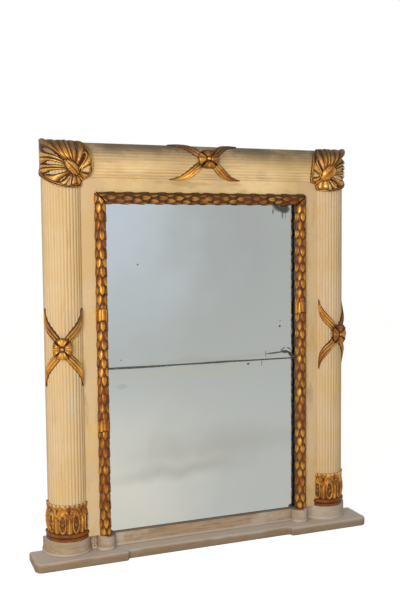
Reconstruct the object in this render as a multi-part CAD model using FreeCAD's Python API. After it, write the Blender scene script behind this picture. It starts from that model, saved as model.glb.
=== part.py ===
import FreeCAD, Part
import math
import os

# Regency style overmantel mirror: reeded half-round columns and top member on
# a pine frame, gilt carvings, two old plates, and a breakfront base board.
# Millimetres. The wall plane is y = 0 while the pieces are made, the front
# faces -Y, +Z is up, and the last step centres the whole on its base.

V = FreeCAD.Vector

# Overall
frame_width = 1280.0
frame_height = 1608.0
frieze_depth = 76.5
overrun = 4.0
fit_gap = 0.3

# Base board
base_overhang = 72.5
base_end_length = 361.0
base_end_depth = 149.0
base_centre_depth = 129.5
base_thickness = 34.0
base_corner_radius = 28.0
base_top_edge_radius = 8.0
base_bottom_edge_radius = 5.0
base_edge_limit_share = 0.9

# Plinth rail and blocks
plinth_height = 57.5
plinth_rail_depth = 66.0
plinth_block_radius = 98.0
plinth_block_depth = 114.0
plinth_foot_height = 15.0
plinth_foot_projection = 3.0
plinth_cove_height = 4.0
plinth_edge_round = 3.0
small_block_radius = 37.0
small_block_depth = 105.0
small_block_foot_height = 9.0
small_block_foot_projection = 1.5
small_block_edge_round = 2.0
corner_arc_share = 1 - math.sqrt(0.5)

# Reeded half-round members
column_radius = 76.5
column_stilt_depth = 32.0
reed_count = 14
reed_depth = 3.2
member_lap = 100.0

# Frieze boards
board_thickness = 26.0
frieze_stile_width = 128.0
frieze_rail_height = 125.5
rebate_lip = 18.5
rebate_width = 22.0
tenon_thickness = 9.0
tenon_length = 36.0
tenon_shoulder = 24.0
tenon_gap = 0.25
peg_radius = 4.0
peg_length = 19.0
peg_gap = 0.15
corner_peg_shares = (0.25, 0.75)
foot_peg_shares = (0.62, 0.9)

# Back frame
back_stile_width = 65.0
bottom_back_rail_height = 48.0
corner_block_leg = 60.0
corner_block_thickness = 22.0

# Mirror plates
glass_thickness = 4.0
plate_play = 2.0
plate_joint_height = 734.0
plate_joint_gap = 0.4
plate_seat_drop = 10.0
slip_width = 12.0

# Backboards
backboard_count = 5
backboard_thickness = 12.0
backboard_gap = 1.0
nail_radius = 1.3
nail_length = 24.0
nail_head_radius = 3.0
nail_head_thickness = 1.2
nail_inset = 32.0
nail_gap = 0.15

# Leaf moulding
leaf_moulding_width = 43.5
leaf_moulding_overhang = 6.0
leaf_row_pitch = 40.0
leaf_step = 4.0
leaf_tip_length = 4.0

# Capital and bole ring
ring_height = 30.0
ring_radius = 82.0
ring_bead_radius = 85.0
ring_neck_radius = 79.0
capital_height = 110.0
capital_belly_radius = 86.0
capital_waist_radius = 79.5
capital_rim_radius = 85.0
capital_foot_radius = 79.0
column_socket_depth = 16.0
socket_gap = 0.5
capital_leaf_turn_degrees = 38.5
capital_leaf_offset_degrees = 9.0
capital_teeth_per_leaf = 3
capital_notch_radius = 4.5
capital_pit_half_width = 7.0
capital_pit_depth = 6.0
capital_pit_shares = (0.09, 0.56)
ring_outline_shares = (0.34, 0.42, 0.71)
capital_belly_share = 0.42
capital_waist_share = 0.82
capital_rim_bend_share = 0.3

# Crossed leaves and patera
ornament_turn_degrees = 18.0
top_ornament_turn_degrees = 12.5
cross_height_share = 0.518
arm_half_height = 150.0
arm_half_width = 74.0
arm_thickness = 8.5
arm_ridge_rise = 3.2
arm_lower_shares = ((0.47, 0.21), (0.93, 0.60))
arm_upper_shares = ((0.12, 0.29), (0.66, 0.64))
arm_ridge_shares = (0.36, 0.64)
patera_width = 71.0
patera_height = 79.0
patera_thickness = 9.0
patera_crown = 6.0
patera_groove_width = 3.4
patera_groove_depth = 4.5
patera_boss_radius = 12.5
patera_boss_rise = 4.0
patera_boss_round = 2.8
patera_corner_radius = 9.0

# Corner palmette
palmette_thickness = 12.0
palmette_long = 196.0
palmette_short = 178.0
palmette_side_stop = 14.0
palmette_gap_half_width = 6.0
palmette_flute_half_width = 3.0
palmette_flute_depth = 4.0
palmette_spine_width = 15.0
palmette_spine_rise = 2.0
palmette_boss_length = 84.0
palmette_boss_radius = 21.0
palmette_boss_sink = 9.0
palmette_boss_share = 0.545
palmette_spine_share = 0.42

# Palmette outline, openings and flutes, as shares of its length along the top
# and down the column, counted from the frame's outer top corner
palmette_rim_shares = ((0.89, 0.0), (1.0, 0.45), (0.765, 0.83), (0.47, 1.0), (0.0, 0.61))
palmette_gap_shares = (
    ((0.05, 0.20), (0.17, 0.28)),
    ((0.06, 0.45), (0.34, 0.52)),
    ((0.14, 0.68), (0.38, 0.65)),
    ((0.27, 0.81), (0.38, 0.76)),
    ((0.44, 0.92), (0.58, 0.845)),
    ((0.80, 0.34), (0.79, 0.70)),
)
palmette_flute_shares = (
    ((0.00, 0.28), (0.34, 0.44)),
    ((0.00, 0.57), (0.40, 0.60)),
    ((0.33, 0.91), (0.50, 0.75)),
    ((0.27, 0.00), (0.42, 0.42)),
    ((0.38, 0.00), (0.47, 0.44)),
    ((0.49, 0.02), (0.52, 0.46)),
    ((0.60, 0.06), (0.57, 0.50)),
)

# Hangers at the back
hanger_drop = 238.0
strap_length = 72.0
strap_width = 20.0
strap_thickness = 2.5
strap_corner_radius = 8.5
ring_wire_radius = 2.5
ring_half_width = 17.5
ring_straight = 9.0
knuckle_wall = 2.2
hanger_bore_gap = 0.3
strap_screw_radius = 2.2
strap_screw_head_radius = 4.2
strap_screw_head_height = 1.8
strap_screw_length = 30.0
strap_screw_spacing = 34.0

# Wood screws
screw_radius = 2.6
screw_head_radius = 5.0
screw_head_height = 3.0
screw_length = 92.0
base_screw_length = 60.0
screw_gap = 0.2
column_screw_height_shares = (0.02, 0.385, 0.725)
top_screw_place_shares = (-0.72, -0.24, 0.24, 0.72)
base_screw_place_shares = (-0.9, -0.45, 0.0, 0.45, 0.9)

# Places that follow from the sizes above
half_width = frame_width / 2
base_half_width = half_width + base_overhang
base_step_half_span = base_half_width - base_end_length
plinth_top = base_thickness + plinth_height
axis_x = half_width - column_radius
axis_z = frame_height - column_radius
axis_y = -column_stilt_depth
lap_x = half_width - member_lap
lap_z = frame_height - member_lap
face_y = -frieze_depth
board_back_y = face_y + board_thickness
glass_face_y = face_y + rebate_lip
glass_back_y = glass_face_y + glass_thickness
board_edge_x = lap_x - frieze_stile_width
board_edge_z = lap_z - frieze_rail_height
sight_x = board_edge_x - leaf_moulding_overhang
sight_top = board_edge_z - leaf_moulding_overhang
rebate_x = board_edge_x + rebate_width
rebate_z = board_edge_z + rebate_width
back_stile_x = lap_x - back_stile_width
back_rail_z = lap_z - back_stile_width
plate_half_width = rebate_x - plate_play
plate_bottom = plinth_top - plate_seat_drop
plate_top = rebate_z - plate_play
leaf_radius = leaf_moulding_width / 2
leaf_axis_x = sight_x + leaf_radius
leaf_axis_z = sight_top + leaf_radius
ring_top = plinth_top + ring_height
capital_top = ring_top + capital_height
column_foot = capital_top - column_socket_depth
cross_z = frame_height * cross_height_share
knuckle_radius = ring_wire_radius + hanger_bore_gap + knuckle_wall
hanger_height = lap_z - hanger_drop
hanger_x = lap_x - back_stile_width / 2
back_reach = 2 * knuckle_radius
centring = (base_end_depth - back_reach) / 2


def box(x0, x1, y0, y1, z0, z1):
    """A box between three pairs of planes."""
    return Part.makeBox(x1 - x0, y1 - y0, z1 - z0, V(x0, y0, z0))


def other_side(shape):
    """The same piece on the left of the centre line."""
    return shape.mirror(V(0, 0, 0), V(1, 0, 0))


def fuse_all(shapes):
    """One solid from several that meet."""
    whole = shapes[0]
    if len(shapes) > 1:
        whole = whole.multiFuse(shapes[1:])
    return whole.removeSplitter()


def prism(points, direction):
    """A straight-sided outline pushed along a direction."""
    return Part.Face(Part.makePolygon(points + points[:1])).extrude(direction)


def rod(radius, start, direction, length):
    """A round bar."""
    return Part.makeCylinder(radius, length, start, direction)


def screw(radius, head_radius, head_height, length, tip, direction):
    """A countersunk screw whose flat head ends at the start of its shank line."""
    head = Part.makeCone(head_radius, radius, head_height, tip, direction)
    return head.fuse(rod(radius, tip, direction, length)).removeSplitter()


def mitre_wedge(outer_x, outer_z, reach, above):
    """The waste on one side of a top corner's mitre, seen from the front."""
    y0 = -(frieze_depth + 2 * column_radius)
    tip = V(outer_x + overrun, y0, outer_z + overrun)
    low = V(outer_x - reach, y0, outer_z - reach)
    side = V(outer_x - reach, y0, outer_z + overrun) if above else V(outer_x + overrun, y0, outer_z - reach)
    return prism([tip, low, side], V(0, -y0 + column_radius, 0))


# Base board and plinth

def base_board():
    """Breakfront shelf board with small ogee returns and eased edges."""
    half = base_half_width
    step = (base_end_depth - base_centre_depth) / 2
    diagonal = math.sqrt(0.5)
    corner = base_corner_radius
    mid_y = -(base_centre_depth + step)
    inner = V(base_step_half_span - step, -base_centre_depth, 0)
    middle = V(base_step_half_span, mid_y, 0)
    outer = V(base_step_half_span + step, -base_end_depth, 0)
    hollow = V(inner.x + step * diagonal, mid_y + step * diagonal, 0)
    swell = V(outer.x - step * diagonal, mid_y - step * diagonal, 0)
    front = V(half - corner, -base_end_depth, 0)
    side = V(half, -base_end_depth + corner, 0)
    round_point = V(half - corner + corner * diagonal, -base_end_depth + corner - corner * diagonal, 0)
    right = [
        Part.Arc(inner, hollow, middle).toShape(),
        Part.Arc(middle, swell, outer).toShape(),
        Part.LineSegment(outer, front).toShape(),
        Part.Arc(front, round_point, side).toShape(),
        Part.LineSegment(side, V(half, 0, 0)).toShape(),
    ]
    left = [other_side(edge) for edge in right]
    joins = [
        Part.LineSegment(V(-inner.x, inner.y, 0), inner).toShape(),
        Part.LineSegment(V(half, 0, 0), V(-half, 0, 0)).toShape(),
    ]
    outline = Part.Wire(Part.__sortEdges__(right + left + joins))
    board = Part.Face(outline).extrude(V(0, 0, base_thickness))
    limit = base_edge_limit_share * step

    def level_edges(shape, z):
        """Edges at one height, without the one along the wall."""
        found = []
        for edge in shape.Edges:
            bounds = edge.BoundBox
            level = abs(bounds.ZMin - z) < fit_gap and abs(bounds.ZMax - z) < fit_gap
            if level and bounds.YMin < -fit_gap:
                found.append(edge)
        return found

    board = board.makeFillet(min(base_top_edge_radius, limit), level_edges(board, base_thickness))
    board = board.makeFillet(min(base_bottom_edge_radius, limit), level_edges(board, 0))
    for screw_shape in base_screw_shapes(screw_gap):
        board = board.cut(screw_shape)
    return board


def base_screw_shapes(gap):
    """Screws driven up through the base board into the plinth rail."""
    y = -plinth_rail_depth / 2
    return [
        screw(screw_radius + gap, screw_head_radius + gap, screw_head_height, base_screw_length + gap,
              V(share * lap_x, y, 0), V(0, 0, 1))
        for share in base_screw_place_shares
    ]


def stile_tenon(gap):
    """Tenon under a frieze stile, or its mortise when given a gap."""
    middle = (board_back_y - plinth_rail_depth) / 2
    return box(
        board_edge_x + rebate_width + tenon_shoulder / 2 - gap, lap_x - tenon_shoulder + gap,
        middle - tenon_thickness / 2 - gap, middle + tenon_thickness / 2 + gap,
        plinth_top - tenon_length - gap, plinth_top,
    )


def rail_tenon(gap):
    """Tenon on the end of the top frieze rail, or its mortise."""
    middle = (face_y + glass_face_y) / 2
    return box(
        board_edge_x, board_edge_x + tenon_length + gap,
        middle - tenon_thickness / 2 - gap, middle + tenon_thickness / 2 + gap,
        rebate_z + tenon_shoulder / 2 - gap, lap_z - tenon_shoulder + gap,
    )


def corner_peg_shapes(gap):
    """Pegs from the back through the right tenon of the top frieze rail."""
    low = rebate_z + tenon_shoulder / 2
    high = lap_z - tenon_shoulder
    x = board_edge_x + tenon_length / 2
    return [
        rod(peg_radius + gap, V(x, board_back_y, low + share * (high - low)), V(0, -1, 0), peg_length + gap)
        for share in corner_peg_shares
    ]


def foot_peg_shapes(gap):
    """Pegs from the front of the plinth rail through the right stile's tenon."""
    inner = rebate_x + tenon_shoulder / 2
    outer = lap_x - tenon_shoulder
    z = plinth_top - tenon_length / 2
    return [
        rod(peg_radius + gap, V(inner + share * (outer - inner), -plinth_rail_depth, z),
            V(0, 1, 0), peg_length + gap)
        for share in foot_peg_shares
    ]


def plinth_rail():
    """Bearer between the plinth blocks, rebated for the foot of the glass."""
    rail = box(-lap_x, lap_x, -plinth_rail_depth, 0, base_thickness, plinth_top)
    rail = rail.cut(box(-rebate_x, rebate_x, glass_face_y, board_back_y,
                        plate_bottom, plinth_top + overrun))
    for mortise in (stile_tenon(tenon_gap), other_side(stile_tenon(tenon_gap))):
        rail = rail.cut(mortise.fuse(mortise.translated(V(0, 0, overrun))))
    for hole in foot_peg_shapes(peg_gap):
        rail = rail.cut(hole).cut(other_side(hole))
    for screw_shape in base_screw_shapes(screw_gap):
        rail = rail.cut(screw_shape)
    return rail


def profile_edges(points, arc_middles):
    """Edges through the points in turn: those numbered in arc_middles are the middles of arcs."""
    edges = []
    start = 0
    while start < len(points) - 1:
        if start + 1 in arc_middles:
            edges.append(Part.Arc(points[start], points[start + 1], points[start + 2]).toShape())
            start += 2
        else:
            edges.append(Part.LineSegment(points[start], points[start + 1]).toShape())
            start += 1
    return edges


def eased_corner(radius, height, size):
    """The three points of a rounded top edge: the middle one lies on its arc."""
    inset = corner_arc_share * size
    return [(radius, height - size), (radius - inset, height - inset), (radius - size, height)]


def stilted_round(outline, centre_x, centre_depth, arc_middles=()):
    """Half-round turning with straight returns to the wall: (radius, height) outline."""
    points = [V(centre_x + radius, -centre_depth, height) for radius, height in outline]
    foot = V(centre_x, -centre_depth, outline[0][1])
    crown = V(centre_x, -centre_depth, outline[-1][1])
    edges = profile_edges(points, arc_middles)
    for start, end in ((points[-1], crown), (crown, foot), (foot, points[0])):
        edges.append(Part.LineSegment(start, end).toShape())
    half = Part.Face(Part.Wire(edges))
    turned = half.revolve(V(centre_x, -centre_depth, 0), V(0, 0, 1), -180)
    mirrored = half.mirror(V(centre_x, 0, 0), V(1, 0, 0))
    returns = [half.extrude(V(0, centre_depth, 0)), mirrored.extrude(V(0, centre_depth, 0))]
    return fuse_all([turned] + returns)


def plinth_block():
    """Large half-round block under a column, on a low moulded foot."""
    radius = plinth_block_radius
    neck = radius - plinth_foot_projection
    foot = base_thickness + plinth_foot_height
    outline = [
        (radius, base_thickness),
        (radius, foot),
        (neck, foot + plinth_cove_height),
    ]
    outline += eased_corner(neck, plinth_top, plinth_edge_round)
    block = stilted_round(outline, axis_x, plinth_block_depth - radius, (len(outline) - 2,))
    waste = box(0, lap_x, -plinth_rail_depth, overrun, 0, frame_height)
    return block.cut(waste)


def small_block():
    """Small half-round block under the leaf moulding."""
    radius = small_block_radius
    neck = radius - small_block_foot_projection
    foot = base_thickness + small_block_foot_height
    outline = [
        (radius, base_thickness),
        (radius, foot),
        (neck, foot + small_block_foot_projection),
    ]
    outline += eased_corner(neck, plinth_top, small_block_edge_round)
    block = stilted_round(outline, sight_x + small_block_radius / 2, small_block_depth - radius,
                          (len(outline) - 2,))
    return block.common(box(0, half_width, -small_block_depth - overrun, -plinth_rail_depth,
                            0, frame_height))


# Frieze boards and back frame

def frieze_stile():
    """Upright frieze board with its rebate, tenon and mortise."""
    stile = box(board_edge_x, lap_x, face_y, board_back_y, plinth_top, lap_z)
    stile = stile.cut(box(board_edge_x - overrun, rebate_x, glass_face_y, board_back_y + overrun,
                          0, rebate_z))
    stile = stile.fuse(stile_tenon(0)).removeSplitter()
    mortise = rail_tenon(tenon_gap)
    stile = stile.cut(mortise.fuse(mortise.translated(V(-overrun, 0, 0))))
    for hole in corner_peg_shapes(peg_gap) + foot_peg_shapes(peg_gap) + nail_shapes(nail_gap):
        stile = stile.cut(hole)
    return stile


def top_frieze_rail():
    """Frieze board across the top, tenoned into the stiles."""
    rail = box(-board_edge_x, board_edge_x, face_y, board_back_y, board_edge_z, lap_z)
    rail = rail.cut(box(-lap_x, lap_x, glass_face_y, board_back_y + overrun,
                        board_edge_z - overrun, rebate_z))
    rail = fuse_all([rail, rail_tenon(0), other_side(rail_tenon(0))])
    for hole in corner_peg_shapes(peg_gap):
        rail = rail.cut(hole).cut(other_side(hole))
    return rail


def back_stile():
    """Deep batten behind the stile, which brings the frame out to the wall."""
    stile = box(back_stile_x, lap_x, board_back_y, 0, plinth_top, lap_z)
    for screw_shape in column_screw_shapes(screw_gap) + strap_screw_shapes(screw_gap):
        stile = stile.cut(screw_shape)
    return stile


def top_back_rail():
    """Deep batten behind the top frieze rail."""
    rail = box(-back_stile_x, back_stile_x, board_back_y, 0, back_rail_z, lap_z)
    for screw_shape in top_screw_shapes(screw_gap):
        rail = rail.cut(screw_shape)
    return rail


def bottom_back_rail():
    """Deep batten standing on the plinth rail behind the glass."""
    top = plinth_top + bottom_back_rail_height
    return box(-back_stile_x, back_stile_x, board_back_y, 0, plinth_top, top)


def corner_blocks():
    """Four three-cornered blocks glued into the corners of the back frame."""
    leg = corner_block_leg
    low = plinth_top + bottom_back_rail_height
    blocks = []
    for z, turn in ((low, 1), (back_rail_z, -1)):
        y = -corner_block_thickness
        corner = V(back_stile_x, y, z)
        triangle = [corner, V(back_stile_x - leg, y, z), V(back_stile_x, y, z + turn * leg)]
        block = prism(triangle, V(0, corner_block_thickness, 0))
        blocks += [block, other_side(block)]
    return Part.makeCompound(blocks)


def column_screw_shapes(gap):
    """Screws from the inner side of the back stile out into the column, above its capital."""
    return [
        screw(screw_radius + gap, screw_head_radius + gap, screw_head_height, screw_length + gap,
              V(back_stile_x, board_back_y / 2, capital_top + share * (lap_z - capital_top)), V(1, 0, 0))
        for share in column_screw_height_shares
    ]


def top_screw_shapes(gap):
    """Screws from under the top back rail up into the top member."""
    return [
        screw(screw_radius + gap, screw_head_radius + gap, screw_head_height, screw_length + gap,
              V(share * back_stile_x, board_back_y / 2, back_rail_z), V(0, 0, 1))
        for share in top_screw_place_shares
    ]


# Reeded members

def member_face(place):
    """Section of the reeded half round, lapped over the boards behind it."""
    groove = column_radius - reed_depth
    inner_turn = math.acos((frieze_depth - column_stilt_depth) / groove)
    step = (math.pi / 2 + inner_turn) / reed_count

    def on_circle(radius, turn):
        return place(radius * math.sin(turn), column_stilt_depth + radius * math.cos(turn))

    edges = []
    for reed in range(reed_count):
        start = math.pi / 2 - reed * step
        ends = on_circle(groove, start), on_circle(groove, start - step)
        edges.append(Part.Arc(ends[0], on_circle(column_radius, start - step / 2), ends[1]).toShape())
    lap = column_radius - member_lap
    corners = [
        on_circle(groove, -inner_turn),
        place(lap, frieze_depth),
        place(lap, 0),
        place(groove, 0),
        on_circle(groove, math.pi / 2),
    ]
    for start, end in zip(corners, corners[1:]):
        edges.append(Part.LineSegment(start, end).toShape())
    return Part.Face(Part.Wire(Part.__sortEdges__(edges)))


def column():
    """Right reeded column, from its seat in the capital to the mitre."""
    face = member_face(lambda u, w: V(axis_x + u, -w, column_foot))
    shaft = face.extrude(V(0, 0, frame_height - column_foot))
    shaft = shaft.cut(mitre_wedge(half_width, frame_height, 2 * column_radius, True))
    for screw_shape in column_screw_shapes(screw_gap):
        shaft = shaft.cut(screw_shape)
    return shaft


def top_member():
    """Reeded member across the top, mitred to both columns."""
    face = member_face(lambda u, w: V(-half_width, -w, axis_z + u))
    member = face.extrude(V(frame_width, 0, 0))
    wedge = mitre_wedge(half_width, frame_height, 2 * column_radius, False)
    member = member.cut(wedge).cut(other_side(wedge))
    for screw_shape in top_screw_shapes(screw_gap):
        member = member.cut(screw_shape)
    return member


def stack_waste():
    """What the frieze boards and back frame take up behind the turned pieces."""
    return box(0, lap_x, face_y, overrun, 0, frame_height)


def bole_ring():
    """Turned two-step ring on the plinth block."""
    levels = [plinth_top + share * ring_height for share in ring_outline_shares]
    outline = [
        (ring_radius, plinth_top),
        (ring_radius, levels[0]),
        (ring_neck_radius, levels[1]),
        (ring_bead_radius, levels[2]),
        (ring_neck_radius, ring_top),
    ]
    bead_middle = len(outline) - 2
    return stilted_round(outline, axis_x, column_stilt_depth, (bead_middle,)).cut(stack_waste())


def turns_between_leaves(step):
    """Degrees from the front, half a step to either side of the capital's leaves."""
    first = capital_leaf_offset_degrees + step / 2
    low = math.ceil((-90 - first) / step)
    high = math.floor((90 - first) / step)
    return [first + number * step for number in range(low, high + 1)]


def capital_pit(turn):
    """The tall pointed hollow between two leaves of the right capital."""
    low, high = [ring_top + share * capital_height for share in capital_pit_shares]
    pit = lens(V(0, 0, low), V(0, 0, high), capital_pit_half_width)
    pit.translate(V(0, capital_pit_depth - capital_belly_radius, 0))
    pit.rotate(V(0, 0, 0), V(0, 0, 1), turn)
    pit.translate(V(axis_x, axis_y, 0))
    return pit


def capital():
    """Carved leaf capital: swelling belly, waist and toothed rim round the column's foot."""
    belly_z = ring_top + capital_belly_share * capital_height
    waist_z = ring_top + capital_waist_share * capital_height
    bend = capital_waist_radius + capital_rim_bend_share * (capital_rim_radius - capital_waist_radius)
    outline = [
        (capital_foot_radius, ring_top),
        (capital_belly_radius, belly_z),
        (capital_waist_radius, waist_z),
        (bend, (waist_z + capital_top) / 2),
        (capital_rim_radius, capital_top),
    ]
    body = stilted_round(outline, axis_x, column_stilt_depth, (1, 3))
    seat = stilted_round(
        [(column_radius + socket_gap, column_foot), (column_radius + socket_gap, capital_top + overrun)],
        axis_x, column_stilt_depth)
    body = body.cut(seat).cut(stack_waste())
    for turn in turns_between_leaves(capital_leaf_turn_degrees):
        body = body.cut(capital_pit(turn))
    for turn in turns_between_leaves(capital_leaf_turn_degrees / capital_teeth_per_leaf):
        direction = V(math.sin(math.radians(turn)), -math.cos(math.radians(turn)), 0)
        start = V(axis_x, axis_y, capital_top)
        body = body.cut(rod(capital_notch_radius, start, direction, 2 * column_radius))
    return body


# Leaf moulding

def leaf_profile_face(place, length):
    """Half section of the leaf rows: each row swells to its tips and steps in."""
    rows = max(1, round(length / leaf_row_pitch))
    pitch = length / rows
    points = [place(0, 0)]
    for row in range(rows):
        start = row * pitch
        points.append(place(leaf_radius, start))
        points.append(place(leaf_radius, start + leaf_tip_length))
        points.append(place(leaf_radius - leaf_step, start + pitch))
    points.append(place(0, length))
    return Part.Face(Part.makePolygon(points + points[:1]))


def leaf_upright():
    """Right leaf moulding, tips down, mitred at the top."""
    length = sight_top + leaf_moulding_width - plinth_top
    face = leaf_profile_face(
        lambda radius, along: V(leaf_axis_x + radius, face_y, plinth_top + along), length)
    strip = face.revolve(V(leaf_axis_x, face_y, 0), V(0, 0, 1), -180)
    return strip.cut(mitre_wedge(sight_x + leaf_moulding_width, sight_top + leaf_moulding_width,
                                 2 * leaf_moulding_width, True))


def leaf_top():
    """Leaf moulding across the top, running from both ends to the middle."""
    outer = sight_x + leaf_moulding_width
    halves = []
    for side in (1, -1):
        face = leaf_profile_face(
            lambda radius, along: V(side * along, face_y, leaf_axis_z + radius), outer)
        halves.append(face.revolve(V(0, face_y, leaf_axis_z), V(1, 0, 0), 180))
    strip = fuse_all(halves)
    wedge = mitre_wedge(outer, sight_top + leaf_moulding_width, 2 * leaf_moulding_width, False)
    return strip.cut(wedge).cut(other_side(wedge))


# Mirror plates, slips and backboards

def plate(low, high):
    """One old mirror plate."""
    return box(-plate_half_width, plate_half_width, glass_face_y, glass_back_y, low, high)


def glazing_slips():
    """Softwood slips that hold the plates against the rebate."""
    inner = plate_half_width - slip_width
    reach = inner - fit_gap
    low = plate_bottom + slip_width
    high = plate_top - slip_width
    slips = [
        box(inner, plate_half_width, glass_back_y, board_back_y, plate_bottom, plate_top),
        box(-plate_half_width, -inner, glass_back_y, board_back_y, plate_bottom, plate_top),
        box(-reach, reach, glass_back_y, board_back_y, high, plate_top),
        box(-reach, reach, glass_back_y, board_back_y, plate_bottom, low),
    ]
    return Part.makeCompound(slips)


def backboard_limits():
    """Lowest and highest edge of each plank in the back."""
    low = plinth_top + bottom_back_rail_height + backboard_gap
    high = back_rail_z - backboard_gap
    height = (high - low - (backboard_count - 1) * backboard_gap) / backboard_count
    return [(low + i * (height + backboard_gap), low + i * (height + backboard_gap) + height)
            for i in range(backboard_count)]


def nail_shapes(gap):
    """Nails of the right-hand ends of the planks."""
    nails = []
    x = (rebate_x + back_stile_x) / 2
    back = board_back_y + backboard_thickness
    for low, high in backboard_limits():
        for z in (low + nail_inset, high - nail_inset):
            head = rod(nail_head_radius + gap, V(x, back, z), V(0, -1, 0), nail_head_thickness + gap)
            shank = rod(nail_radius + gap, V(x, back, z), V(0, -1, 0), nail_length + gap)
            nails.append(head.fuse(shank).removeSplitter())
    return nails


def backboard(low, high):
    """One pine plank across the back."""
    reach = back_stile_x - fit_gap
    plank = box(-reach, reach, board_back_y, board_back_y + backboard_thickness, low, high)
    for hole in nail_shapes(nail_gap):
        plank = plank.cut(hole).cut(other_side(hole))
    return plank


# Crossed leaves, pateras and corner palmettes

def round_shell(inner, outer, half_length):
    """Front half of a tube round the member's axis, which lies on Z."""
    tube = Part.makeCylinder(outer, 2 * half_length, V(0, 0, -half_length))
    bore_start = V(0, 0, -half_length - overrun)
    tube = tube.cut(Part.makeCylinder(inner, 2 * half_length + 2 * overrun, bore_start))
    return tube.common(box(-outer - overrun, outer + overrun, -outer - overrun, 0,
                           -half_length - overrun, half_length + overrun))


def arm_outline(blend_low, blend_high):
    """One curved arm seen square on, between two blends of its edges."""
    def blended(index, blend):
        lower = arm_lower_shares[index]
        upper = arm_upper_shares[index]
        across = lower[0] + (upper[0] - lower[0]) * blend
        along = lower[1] + (upper[1] - lower[1]) * blend
        return V(across * arm_half_width, 0, along * arm_half_height)

    tip = V(arm_half_width, 0, arm_half_height)
    centre = V(0, 0, 0)
    low = Part.Arc(blended(0, blend_low), blended(1, blend_low), tip).toShape()
    high = Part.Arc(tip, blended(1, blend_high), blended(0, blend_high)).toShape()
    edges = [
        Part.LineSegment(centre, blended(0, blend_low)).toShape(),
        low,
        high,
        Part.LineSegment(blended(0, blend_high), centre).toShape(),
    ]
    return Part.Face(Part.Wire(edges))


def crossed_leaves():
    """Four curved arms wrapped round the member, each with a raised rib."""
    inner = column_radius + fit_gap
    outer = inner + arm_thickness
    half_w = arm_lower_shares[0][0] * arm_half_width
    half_h = arm_lower_shares[0][1] * arm_half_height
    middle = box(-half_w, half_w, -2 * column_radius, 0, -half_h, half_h)
    ridge_low, ridge_high = arm_ridge_shares
    layers = []
    for blend_low, blend_high, reach in ((0, 1, outer), (ridge_low, ridge_high, outer + arm_ridge_rise)):
        arm = arm_outline(blend_low, blend_high).extrude(V(0, -2 * column_radius, 0))
        arms = [arm, other_side(arm)]
        arms += [shape.mirror(V(0, 0, 0), V(0, 0, 1)) for shape in arms]
        arms.append(middle)
        shell = round_shell(inner, reach, arm_half_height + overrun)
        layers.append(fuse_all(arms).common(shell))
    return fuse_all(layers)


def patera():
    """Square four-petal flower over the crossing, domed, with a round boss."""
    back = column_radius + fit_gap + arm_thickness + arm_ridge_rise + fit_gap
    front = back + patera_thickness
    half_w = patera_width / 2
    half_h = patera_height / 2
    block = box(-half_w, half_w, -front - patera_crown, -column_radius, -half_h, half_h)
    upright = [edge for edge in block.Edges if abs(edge.BoundBox.YLength - patera_thickness
               - patera_crown - back + column_radius) < fit_gap and edge.BoundBox.ZLength < fit_gap]
    block = block.makeFillet(patera_corner_radius, upright)
    reach = math.hypot(half_w, half_h)
    dome_radius = (reach * reach + patera_crown * patera_crown) / (2 * patera_crown)
    dome = Part.makeSphere(dome_radius, V(0, -front - patera_crown + dome_radius, 0))
    flower = block.common(dome)
    flower = flower.cut(Part.makeCylinder(back, 2 * patera_height, V(0, 0, -patera_height)))
    for turn in (1, -1):
        angle = math.degrees(math.atan2(half_h, half_w)) * turn
        groove = box(-reach, reach, -front - patera_crown - overrun,
                     -front - patera_crown + patera_groove_depth,
                     -patera_groove_width / 2, patera_groove_width / 2)
        groove.rotate(V(0, 0, 0), V(0, 1, 0), -angle)
        flower = flower.cut(groove)
    boss = Part.makeCylinder(patera_boss_radius, patera_boss_rise + patera_thickness,
                             V(0, -front, 0), V(0, -1, 0))
    boss = boss.makeFillet(patera_boss_round, [boss.Edges[0]])
    return fuse_all([flower, boss])


def member_envelope(offset):
    """Plain mitred corner of both half rounds, grown by an offset."""
    radius = column_radius + offset
    reach = palmette_long + palmette_short

    def section(place):
        arc = Part.Arc(place(radius, column_stilt_depth), place(0, column_stilt_depth + radius),
                       place(-radius, column_stilt_depth)).toShape()
        corners = [place(-radius, column_stilt_depth), place(-radius, 0), place(radius, 0),
                   place(radius, column_stilt_depth)]
        lines = [Part.LineSegment(a, b).toShape() for a, b in zip(corners, corners[1:])]
        return Part.Face(Part.Wire([arc] + lines))

    upright = section(lambda u, w: V(axis_x + u, -w, frame_height - reach))
    upright = upright.extrude(V(0, 0, reach + offset))
    level = section(lambda u, w: V(half_width - reach, -w, axis_z + u))
    level = level.extrude(V(reach + offset, 0, 0))
    outer_x = half_width + offset
    outer_z = frame_height + offset
    upright = upright.cut(mitre_wedge(outer_x, outer_z, reach, True))
    level = level.cut(mitre_wedge(outer_x, outer_z, reach, False))
    return upright.fuse(level)


def palmette_point(share):
    """A place on the palmette seen from the front, on the wall plane."""
    along, down = share
    return V(half_width - along * palmette_long, 0, frame_height - down * palmette_short)


def lens(start, end, half_thickness):
    """A leaf-shaped opening between two points, seen from the front."""
    line = end - start
    side = V(-line.z, 0, line.x).normalize() * half_thickness
    middle = (start + end) * 0.5
    edges = [Part.Arc(start, middle + side, end).toShape(), Part.Arc(end, middle - side, start).toShape()]
    return Part.Face(Part.Wire(edges)).extrude(V(0, -frieze_depth - 2 * column_radius, 0))


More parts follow.
